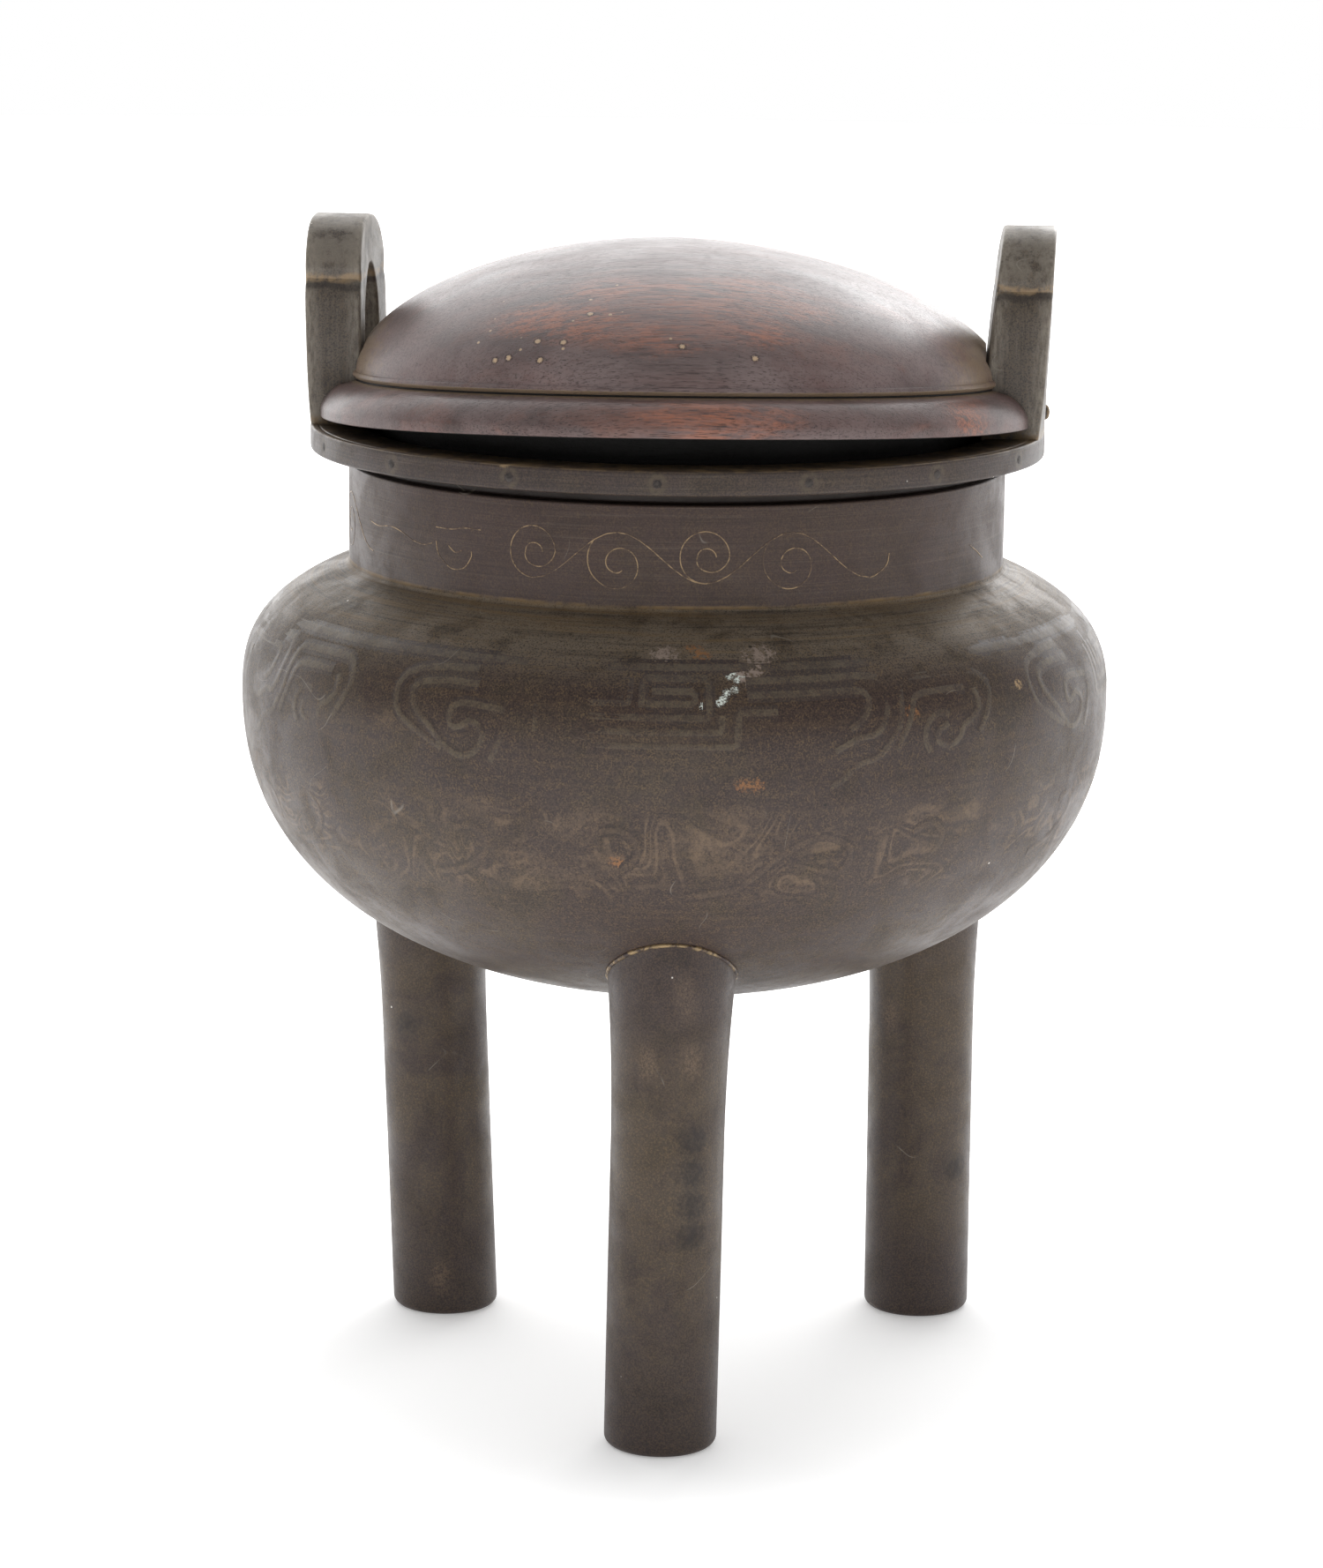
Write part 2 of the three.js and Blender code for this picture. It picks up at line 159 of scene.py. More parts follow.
class LegSizes(bpy.types.PropertyGroup):
    """Sizes and places of the three legs and their seams"""

    inset: length("Inset", 24.8, "Widest ring to the circle of the legs' middles")
    radius: length("Radius", 10.1, "Radius of a leg")
    flare: length("Flare", 1.2, "Extra radius where a leg meets the bowl")
    flare_height: length("Flare height", 56, "Where the flare starts")
    foot_round: length("Foot round", 1.6, "Rounding of a foot's edge")
    seam_radius: length("Seam radius", 0.38, "Radius of the braze bead round a leg's top")
    front_angle: angle("Front leg angle", -90, "Place of the front leg round the bowl")
    front_foot_along: length("Front foot along", -1.1, "How far the front foot stands along the circle")
    left_angle: angle("Rear left leg angle", 149.2, "Place of the rear left leg round the bowl")
    left_step_out: length("Rear left step out", -0.6, "How far the rear left leg stands off the circle")
    left_foot_in: length("Rear left foot in", 3.7, "How far the rear left foot stands in")
    left_foot_along: length("Rear left foot along", -0.6, "How far that foot stands along the circle")
    right_angle: angle("Rear right leg angle", 30.3, "Place of the rear right leg round the bowl")
    right_step_out: length("Rear right step out", 1.3, "How far the rear right leg stands off the circle")
    right_foot_in: length("Rear right foot in", -0.3, "How far the rear right foot stands in")


class LidSizes(bpy.types.PropertyGroup):
    """Sizes of the turned lid"""

    inset: length("Inset", 1.8, "Rim's edge to the lid's edge")
    edge_height: length("Edge height", 1.6, "Upright foot of the ovolo")
    ovolo_height: length("Ovolo height", 4.7, "Height of the ovolo")
    ovolo_width: length("Ovolo width", 4.5, "Width of the ovolo")
    ovolo_fullness: number("Ovolo fullness", 1.6, "2 is an ellipse, less is flatter")
    bead_radius: length("Bead radius", 0.7, "Radius of the small bead")
    groove_depth: length("Groove depth", 1, "Depth of the groove behind the bead")
    groove_height: length("Groove height", 0.9, "Height of the groove")
    dome_inset: length("Dome inset", 6.3, "Lid's edge to the dome's foot")
    dome_rise: length("Dome rise", 24.4, "Height of the dome")
    dome_fullness: number("Dome fullness", 1.8, "2 is an ellipse, less is flatter")
    dome_lean: angle("Dome lean", 1.5, "How much lower the dome is cut on its right side")
    tilt: angle("Tilt", 2.1, "How far the lid's front stands up")
    cup: length("Cup", 1.8, "How far the front and back of the lid's edge have risen with age")
    tenon_clearance: length("Tenon clearance", 0.9, "Tenon to mouth")
    tenon_depth: length("Tenon depth", 5, "How far the tenon reaches into the mouth")
    tenon_wall: length("Tenon wall", 5.5, "Thickness of the tenon's ring")
    crown: length("Crown", 9, "Wood left over the hollow")
    notch_clearance: length("Notch clearance", 0.5, "Lid to ear")


class InlaySizes(bpy.types.PropertyGroup):
    """Sizes of the wire scroll on the neck and the worn fret on the belly"""

    front_pairs: whole("Front pairs", 2, "Pairs of spirals left on the neck's front")
    back_pairs: whole("Back pairs", 7, "Pairs of spirals on the neck's back")
    scroll_step: angle("Scroll step", 29.1, "Turn from one pair of spirals to the next")
    front_start: angle("Front start", -24.4, "Turn of the first spiral on the front")
    back_start: angle("Back start", 92, "Turn of the first spiral on the back")
    scroll_height: length("Scroll height", 161.2, "Floor to the middles of the higher spirals")
    scroll_drop: length("Scroll drop", 1.6, "How much lower the middles of the other spirals are")
    wire_width: length("Wire width", 0.2, "Width of the inlaid wire")
    wire_proud: length("Wire proud", 0.05, "How far the wire stands out of the neck")
    fret_panels: whole("Fret panels", 4, "Panels of fret round the belly")
    fret_start: angle("Fret start", 3.2, "Turn of the panel nearest the front")
    fret_top: length("Fret top", 142.7, "Floor to the fret's top row")
    fret_pitch: length("Fret pitch", 2.4, "One line of the fret to the next")
    fret_width: length("Fret width", 1.3, "Width of a line of the fret")
    fret_border: length("Fret border", 0.5, "Dark edge on each side of a line")
    fret_proud: length("Fret proud", 0.035, "How far the fret stands out of the belly")


class MetalColours(bpy.types.PropertyGroup):
    """Colours of the bronze and what lies on it"""

    belly: colour("Belly", (0.042, 0.027, 0.024), "Grey-brown skin of the belly")
    # Olive patina, lightened as painted light from above
    shoulder: colour("Shoulder", (0.176, 0.145, 0.112), "Olive skin of the shoulder, lightened as painted light from above")
    neck: colour("Neck", (0.053, 0.031, 0.026), "Purple-brown skin of the neck")
    # Also the colour of painted shade under the belly, in the groove under the rim and below the ears'
    # crease
    shade: colour("Shade", (0.02, 0.014, 0.012), "Darkest patches")
    moss: colour("Moss", (0.075, 0.056, 0.036), "Olive-brown patches")
    dirt: colour("Dirt", (0.18, 0.117, 0.056), "Golden-brown dirt in corners and creases")
    stain: colour("Stain", (0.165, 0.112, 0.07), "Golden-brown stains on the belly and legs")
    rust: colour("Rust", (0.3, 0.13, 0.045), "Orange flecks")
    chalk: colour("Chalk", (0.72, 0.78, 0.72), "Pale flecks of a fresh scratch")
    scrape: colour("Scrape", (0.27, 0.21, 0.175), "Grey scrapes")
    dust: colour("Dust", (0.7, 0.66, 0.6), "Specks of dust")
    ear: colour("Ear", (0.084, 0.069, 0.056), "Dark olive-grey skin of the ears")
    worn: colour("Worn edge", (0.25, 0.22, 0.18), "Bare metal on worn edges")
    # Also the colour of the bright line along the ears' crease, worn metal and painted highlight
    wire: colour("Wire", (0.34, 0.23, 0.12), "Pale gold of the neck's wire")
    fret: colour("Fret", (0.122, 0.096, 0.062), "Worn lines of the belly's fret")
    braze: colour("Braze", (0.3, 0.21, 0.105), "Worn braze round the legs' tops")
    pin: colour("Pin", (0.044, 0.035, 0.03), "Dark plugs in the rim")


class WoodColours(bpy.types.PropertyGroup):
    """Colours of the lid"""

    heart: colour("Heartwood", (0.098, 0.042, 0.034), "Red-brown ground of the wood")
    dark: colour("Dark grain", (0.042, 0.021, 0.018), "Dark streaks of the grain")
    pore: colour("Pore", (0.012, 0.007, 0.006), "Open pores")
    rubbed: colour("Rubbed", (0.44, 0.12, 0.034), "Orange-red places rubbed through the finish")
    # Greyed old wax, which also stands in for the dome's painted sheen
    wax_and_sheen: colour("Wax and sheen", (0.2, 0.15, 0.145), "Greyed old wax and painted sheen")
    dust: colour("Dust", (0.25, 0.18, 0.11), "Tan dust in the corners")
    fleck: colour("Fleck", (0.5, 0.35, 0.22), "Drops of old paint")
    # Near black painted shade for the underside, tenon and hollow under the lid
    soot: colour("Painted shade", (0.006, 0.005, 0.0045), "Painted shade on the underside, tenon and hollow")


class StageSettings(bpy.types.PropertyGroup):
    """Floor, light and camera"""

    floor_colour: colour("Floor", (0.86, 0.86, 0.86), "Pale floor")
    # The lower glow under the piece is a painted shadow round the feet
    floor_glow: number("Floor glow", 0.28, "Own light of the floor under the piece")
    far_glow: number("Far glow", 0.9, "Own light of the floor away from the piece")
    front_light: number("Front light", 0.33, "Strength of the room's light from the front")
    top_light: number("Top light", 0.4, "Extra strength of the room's light from above")
    back_light: number("Back light", 3.3, "Strength of the room's light from behind")
    backdrop: number("Backdrop", 1.0, "Brightness of the white that the camera sees behind the piece")
    lens: FloatProperty(name="Lens", description="Focal length", default=108.81, unit="CAMERA")
    camera_height: length("Camera height", 282.69, "Floor to the camera")
    camera_distance: length("Camera distance", 867.41, "Bowl's axis to the camera")
    camera_side: length("Camera side", -2.186, "How far the camera stands to the right")
    camera_dip: angle("Camera dip", 11.301, "How far the camera looks down")
    camera_roll: angle("Camera roll", 0.674, "How far the camera leans")


SIZE_GROUPS = {
    "censer_bowl": BowlSizes,
    "censer_rim": RimSizes,
    "censer_ears": EarSizes,
    "censer_legs": LegSizes,
    "censer_lid": LidSizes,
    "censer_inlay": InlaySizes,
    "censer_metal": MetalColours,
    "censer_wood": WoodColours,
    "censer_stage": StageSettings,
}


# Curves and outlines


def curve_height(across, radius, height, fullness):
    """How high a superellipse stands at a distance from its pole's axis."""
    return height * (1 - (across / radius) ** fullness) ** (1 / fullness)


def quarter(radius, height, fullness, steps):
    """A quarter of a superellipse, from its widest point to its pole."""
    points = []
    for i in range(steps):
        turn = math.pi / 2 * i / steps
        points.append((radius * math.cos(turn) ** (2 / fullness), height * math.sin(turn) ** (2 / fullness)))
    return points + [(0.0, height)]


def quarter_to(inner, radius, height, fullness, steps):
    """Part of the same curve, from its widest point to where it has come in to the given radius."""
    points = []
    for i in range(steps + 1):
        across = radius - (radius - inner) * math.sin(math.pi / 2 * i / steps) ** 2
        points.append((across, curve_height(across, radius, height, fullness)))
    return points


def cove(start, corner, end, steps):
    """A curve from start to end that is drawn towards the corner between them."""
    points = []
    for i in range(steps + 1):
        t = i / steps
        points.append(
            tuple((1 - t) ** 2 * a + 2 * t * (1 - t) * b + t**2 * c for a, b, c in zip(start, corner, end))
        )
    return points


def eased(outline, radius, closed=False):
    """Rounds the corners of an outline."""
    points = [Vector(point) for point in outline]
    rounded = []
    for i, point in enumerate(points):
        if not closed and i in (0, len(points) - 1):
            rounded.append(tuple(point))
            continue
        before = points[i - 1] - point
        after = points[(i + 1) % len(points)] - point
        reach = min(radius, before.length / 2, after.length / 2)
        start = point + before.normalized() * reach
        end = point + after.normalized() * reach
        rounded += cove(start, point, end, ARC_STEPS)
    return rounded


def raised(points, height):
    return [(radius, height + z) for radius, z in points]


def lowered(points, height):
    return [(radius, height - z) for radius, z in points]


def smooth_line(points, steps):
    """A curve through all the points, with the given number of steps from each to the next."""
    points = [Vector(point) for point in points]
    before = [2 * points[0] - points[1]] + points[:-1]
    after = points[1:] + [2 * points[-1] - points[-2]]
    line = []
    for i in range(len(points) - 1):
        leave = (after[i] - before[i]) / 2
        arrive = (after[i + 1] - before[i + 1]) / 2
        for k in range(steps):
            t = k / steps
            line.append(
                points[i] * (2 * t**3 - 3 * t**2 + 1)
                + leave * (t**3 - 2 * t**2 + t)
                + points[i + 1] * (3 * t**2 - 2 * t**3)
                + arrive * (t**3 - t**2)
            )
    return line + [points[-1]]


def evenly(line, step):
    """The same line with its points a step apart."""
    line = [Vector(point) for point in line]
    even = [line[0]]
    travelled = 0.0
    for start, end in zip(line, line[1:]):
        run = (end - start).length
        while travelled + run >= step:
            start = start.lerp(end, (step - travelled) / run)
            run = (end - start).length
            travelled = 0.0
            even.append(start)
        travelled += run
    if (even[-1] - line[-1]).length > step / 4:
        even.append(line[-1])
    return even


# Meshes


def added(name, data):
    """A new object of the scene that shows the data."""
    thing = bpy.data.objects.new(name, data)
    bpy.context.scene.collection.objects.link(thing)
    return thing


def mesh_piece(name, points, faces):
    """A smooth-shaded piece whose faces all point outwards."""
    mesh = bpy.data.meshes.new(name)
    mesh.from_pydata([tuple(point) for point in points], [], faces)
    tidy_mesh(mesh)
    return added(name, mesh)


def tidy_mesh(mesh):
    shape = bmesh.new()
    shape.from_mesh(mesh)
    bmesh.ops.recalc_face_normals(shape, faces=shape.faces)
    shape.to_mesh(mesh)
    shape.free()
    mesh.shade_smooth()
    mesh.set_sharp_from_angle(angle=SHARP_EDGE)


def circle(radius, height, count):
    """Points evenly round a level circle about the Z axis."""
    turns = [2 * math.pi * k / count for k in range(count)]
    return [(radius * math.cos(turn), radius * math.sin(turn), height) for turn in turns]


def ring_faces(first, rings, corners, closed=False):
    """Faces between rings of points that follow each other from a first point on."""
    faces = []
    for i in range(rings if closed else rings - 1):
        near = first + i * corners
        far = first + (i + 1) % rings * corners
        for k in range(corners):
            m = (k + 1) % corners
            faces.append((near + k, near + m, far + m, far + k))
    return faces


def turned_mesh(outline, segments, closed=False):
    """Points and faces of an outline of radius and height turned about the Z axis."""
    points = []
    rings = []
    for radius, height in outline:
        if radius < MM / 100:
            rings.append([len(points)] * segments)
            points.append((0.0, 0.0, height))
        else:
            rings.append(range(len(points), len(points) + segments))
            points += circle(radius, height, segments)
    faces = []
    below = rings if closed else rings[:-1]
    above = rings[1:] + rings[:1] if closed else rings[1:]
    for low, high in zip(below, above):
        for k in range(segments):
            m = (k + 1) % segments
            corners = tuple(dict.fromkeys((low[k], low[m], high[m], high[k])))
            if len(corners) > 2:
                faces.append(corners)
    return points, faces


def lying(points, out, height):
    """A shape turned about the Z axis, laid on its side so that it points out along X."""
    return [(out + z, y, height - x) for x, y, z in points]


def mark_points(piece, name, values):
    """Stores one number for each point of a piece."""
    piece.data.attributes.new(name, "FLOAT", "POINT").data.foreach_set("value", values)


def set_piece(piece, body, material, slot, *nodes):
    """Gives a finished piece its material, its body and the CAD nodes that it stands for."""
    piece.data.materials.clear()
    piece.data.materials.append(material)
    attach(piece, body)
    if nodes:
        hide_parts(*nodes)


def baked(piece):
    """The piece with its modifiers worked into a plain mesh."""
    graph = bpy.context.evaluated_depsgraph_get()
    mesh = bpy.data.meshes.new_from_object(piece.evaluated_get(graph))
    mesh.name = piece.name
    piece.modifiers.clear()
    piece.data = mesh
    return piece


# Node trees


class NodeTree:
    """A tree of nodes under construction."""

    def __init__(self, tree):
        self.tree = tree

    def feed(self, socket, value):
        """Links an output to a socket, or sets the socket to a plain value."""
        if isinstance(value, bpy.types.NodeSocket):
            self.tree.links.new(value, socket)
        elif socket.type == "RGBA" and len(value) == 3:
            socket.default_value = (*value, 1.0)
        else:
            socket.default_value = value

    def put(self, kind, values=(), **settings):
        """Adds a node and gives its outputs."""
        node = self.tree.nodes.new(kind)
        for key, value in settings.items():
            setattr(node, key, value)
        for key, value in dict(values).items():
            self.feed(node.inputs[key], value)
        return node.outputs

    def calc(self, operation, first, second=0.0, third=0.0, clamp=False):
        values = {0: first, 1: second, 2: third}
        return self.put("ShaderNodeMath", values, operation=operation, use_clamp=clamp)[0]

    def times(self, first, *others):
        """Numbers multiplied together."""
        for other in others:
            first = self.calc("MULTIPLY", first, other)
        return first

    def vector(self, operation, first, second=None):
        """A sum with vectors. SCALE takes a number, and DISTANCE and LENGTH give one."""
        values = {0: first}
        if second is not None:
            values["Scale" if operation == "SCALE" else 1] = second
        result = "Value" if operation in ("DISTANCE", "LENGTH") else "Vector"
        return self.put("ShaderNodeVectorMath", values, operation=operation)[result]

    def joined(self, x=0.0, y=0.0, z=0.0):
        return self.put("ShaderNodeCombineXYZ", {"X": x, "Y": y, "Z": z})[0]

    def parts(self, vector):
        return self.put("ShaderNodeSeparateXYZ", {0: vector})

    def step(self, value, low, high, start=0.0, end=1.0):
        """A soft step from start to end as the value goes from low to high."""
        values = {"Value": value, "From Min": low, "From Max": high, "To Min": start, "To Max": end}
        return self.put("ShaderNodeMapRange", values, interpolation_type="SMOOTHSTEP")[0]


class ShapeTree(NodeTree):
    """A geometry node tree that works on the shape of a piece and gives it its material."""

    def __init__(self, name, numbers, counts=()):
        super().__init__(bpy.data.node_groups.new(name, "GeometryNodeTree"))
        inputs = {"Geometry": "NodeSocketGeometry"}
        inputs.update(dict.fromkeys(counts, "NodeSocketInt"))
        inputs.update(dict.fromkeys(numbers, "NodeSocketFloat"))
        inputs["Material"] = "NodeSocketMaterial"
        for label, kind in inputs.items():
            self.tree.interface.new_socket(label, in_out="INPUT", socket_type=kind)
        self.tree.interface.new_socket("Geometry", in_out="OUTPUT", socket_type="NodeSocketGeometry")
        self.source = self.put("NodeGroupInput")

    def choose(self, when, this, other):
        values = {"Switch": when, "True": this, "False": other}
        return self.put("GeometryNodeSwitch", values, input_type="FLOAT")[0]

    def end(self, geometry):
        """Realizes what the tree has made and gives it the material."""
        real = self.put("GeometryNodeRealizeInstances", {0: geometry})[0]
        done = self.put("GeometryNodeSetMaterial", {0: real, "Material": self.source["Material"]})[0]
        self.put("NodeGroupOutput", {0: done})
        return self

    def work(self, piece, **values):
        """Runs the tree on a piece and leaves a plain mesh."""
        modifier = piece.modifiers.new(self.tree.name, "NODES")
        modifier.node_group = self.tree
        for item in self.tree.interface.items_tree:
            key = item.name.lower().replace(" ", "_")
            if item.in_out == "INPUT" and key in values:
                modifier[item.identifier] = values[key]
        return baked(piece)


def ring_tree():
    """Repeats a shape evenly round the Z axis."""
    tree = ShapeTree("censer_ring", ["First Turn"], ["Count"])
    count = tree.source["Count"]
    seats = tree.put("GeometryNodeMeshLine", {"Count": count, "Offset": (0, 0, 0)})[0]
    place = tree.put("GeometryNodeInputIndex")[0]
    step = tree.calc("DIVIDE", 2 * math.pi, count)
    turn = tree.calc("MULTIPLY_ADD", place, step, tree.source["First Turn"])
    values = {"Points": seats, "Instance": tree.source["Geometry"], "Rotation": tree.joined(z=turn)}
    return tree.end(tree.put("GeometryNodeInstanceOnPoints", values)[0])


def bead_tree():
    """Lays an uneven bead along a loop of edges."""
    tree = ShapeTree("censer_bead", ["Radius", "Unevenness", "Lump Size"])
    path = tree.put("GeometryNodeMeshToCurve", {"Mesh": tree.source["Geometry"]})[0]
    frequency = tree.calc("DIVIDE", 1.0, tree.source["Lump Size"])
    lumps = tree.put("ShaderNodeTexNoise", {"Scale": frequency, "Detail": 2.0})[0]
    spread = tree.times(tree.calc("SUBTRACT", lumps, NOISE_MIDDLE), tree.source["Unevenness"])
    radius = tree.times(tree.calc("ADD", spread, 1.0), tree.source["Radius"])
    thick = tree.put("GeometryNodeSetCurveRadius", {"Curve": path, "Radius": radius})[0]
    ring = tree.put("GeometryNodeCurvePrimitiveCircle", {"Resolution": BEAD_SIDES, "Radius": 1.0})[0]
    values = {"Curve": thick, "Profile Curve": ring, "Scale": radius}
    return tree.end(tree.put("GeometryNodeCurveToMesh", values)[0])


def wrap_tree():
    """Repeats flat strips side by side, wraps them round the bowl and sinks them where they have worn away.

    In the flat shape X is the way round at the belly's radius, Y the height and Z the way out.
    """
    surface = ["Belly Radius", "Belly Height", "Rise", "Rise Fullness", "Drop", "Drop Fullness"]
    wearing = ["Wear Size", "Wear From", "Wear To", "Wear Depth"]
    tree = ShapeTree("censer_wrap", ["Step", "Start", *surface, *wearing], ["Count"])
    calc, times, source = tree.calc, tree.times, tree.source
    radius = source["Belly Radius"]
    line = {
        "Count": source["Count"],
        "Start Location": tree.joined(times(source["Start"], radius)),
        "Offset": tree.joined(times(source["Step"], radius)),
    }
    seats = tree.put("GeometryNodeMeshLine", line)[0]
    copies = tree.put("GeometryNodeInstanceOnPoints", {"Points": seats, "Instance": source["Geometry"]})[0]
    flat = tree.put("GeometryNodeRealizeInstances", {0: copies})[0]
    place = tree.parts(tree.put("GeometryNodeInputPosition")[0])
    turn = calc("ADD", calc("DIVIDE", place["X"], radius), FRONT)
    over = calc("SUBTRACT", place["Y"], source["Belly Height"])
    above = calc("GREATER_THAN", over, 0.0)
    span = tree.choose(above, source["Rise"], source["Drop"])
    full = tree.choose(above, source["Rise Fullness"], source["Drop Fullness"])
    part = calc("DIVIDE", calc("ABSOLUTE", over), span)
    left = calc("SUBTRACT", 1.0, calc("POWER", part, full))
    out = calc("POWER", left, calc("DIVIDE", 1.0, full))
    less = calc("SUBTRACT", full, 1.0)
    normal_out = calc("DIVIDE", calc("POWER", out, less), radius)
    normal_up = times(calc("DIVIDE", calc("POWER", part, less), span), calc("SIGN", over))
    normal = tree.parts(tree.vector("NORMALIZE", tree.joined(normal_out, 0.0, normal_up)))
    ring = times(out, radius)
    sine, cosine = calc("SINE", turn), calc("COSINE", turn)
    seat = tree.joined(times(ring, cosine), times(ring, sine), place["Y"])
    frequency = calc("DIVIDE", 1.0, source["Wear Size"])
    patches = tree.put("ShaderNodeTexNoise", {"Vector": seat, "Scale": frequency, "Detail": 3.0})[0]
    values = {"Value": patches, "From Min": source["Wear From"], "From Max": source["Wear To"]}
    wear = tree.put("ShaderNodeMapRange", values)[0]
    stand = calc("SUBTRACT", place["Z"], times(wear, source["Wear Depth"]))
    reach = calc("MULTIPLY_ADD", normal["X"], stand, ring)
    lift = calc("MULTIPLY_ADD", normal["Z"], stand, place["Y"])
    final = tree.joined(times(reach, cosine), times(reach, sine), lift)
    values = {"Geometry": flat, "Name": "wear", "Value": wear}
    marked = tree.put("GeometryNodeStoreNamedAttribute", values, data_type="FLOAT")[0]
    return tree.end(tree.put("GeometryNodeSetPosition", {"Geometry": marked, "Position": final})[0])


def belly_surface(bowl):
    """The belly, as wrap_tree takes it."""
    return {
        "belly_radius": bowl.belly_radius,
        "belly_height": bowl.belly_height,
        "rise": bowl.shoulder_rise,
        "rise_fullness": bowl.shoulder_fullness,
        "drop": bowl.underside_drop,
        "drop_fullness": bowl.underside_fullness,
    }


def neck_surface(bowl):
    """The neck, as an ellipse so tall that it is straight."""
    return {
        "belly_radius": bowl.neck_radius,
        "belly_height": 0.0,
        "rise": STRAIGHT,
        "rise_fullness": ELLIPSE,
        "drop": STRAIGHT,
        "drop_fullness": ELLIPSE,
    }


def strip_section(width, border, proud, sunk):
    """One cut through a low bar with flat borders: across, out and 1 on the bar's ridge."""
    half = width / 2
    skirt = half + border
    ridge_half = RIDGE_SHARE * half
    face = [(skirt, -sunk, 0.0), (skirt, 0.0, 0.0), (half, proud / 5, 0.0), (ridge_half, proud, 1.0)]
    return face + [(-across, out, ridge) for across, out, ridge in reversed(face)]


def flat_strips(name, lines, section):
    """Closed flat strips along lines of X and Y that stand in Z, with their ridges marked."""
    corners = len(section)
    points = []
    faces = []
    for line in lines:
        first = len(points)
        for i, point in enumerate(line):
            ahead = line[min(i + 1, len(line) - 1)] - line[max(i - 1, 0)]
            side = Vector((-ahead.y, ahead.x)).normalized()
            for across, out, _ in section:
                spot = point + side * across
                points.append((spot.x, spot.y, out))
        faces += ring_faces(first, len(line), corners)
        last = first + (len(line) - 1) * corners
        faces += [tuple(range(first, first + corners)), tuple(range(last, last + corners))]
    piece = mesh_piece(name, points, faces)
    mark_points(piece, "ridge", [ridge for _, _, ridge in section] * (len(points) // corners))
    return piece


# Materials


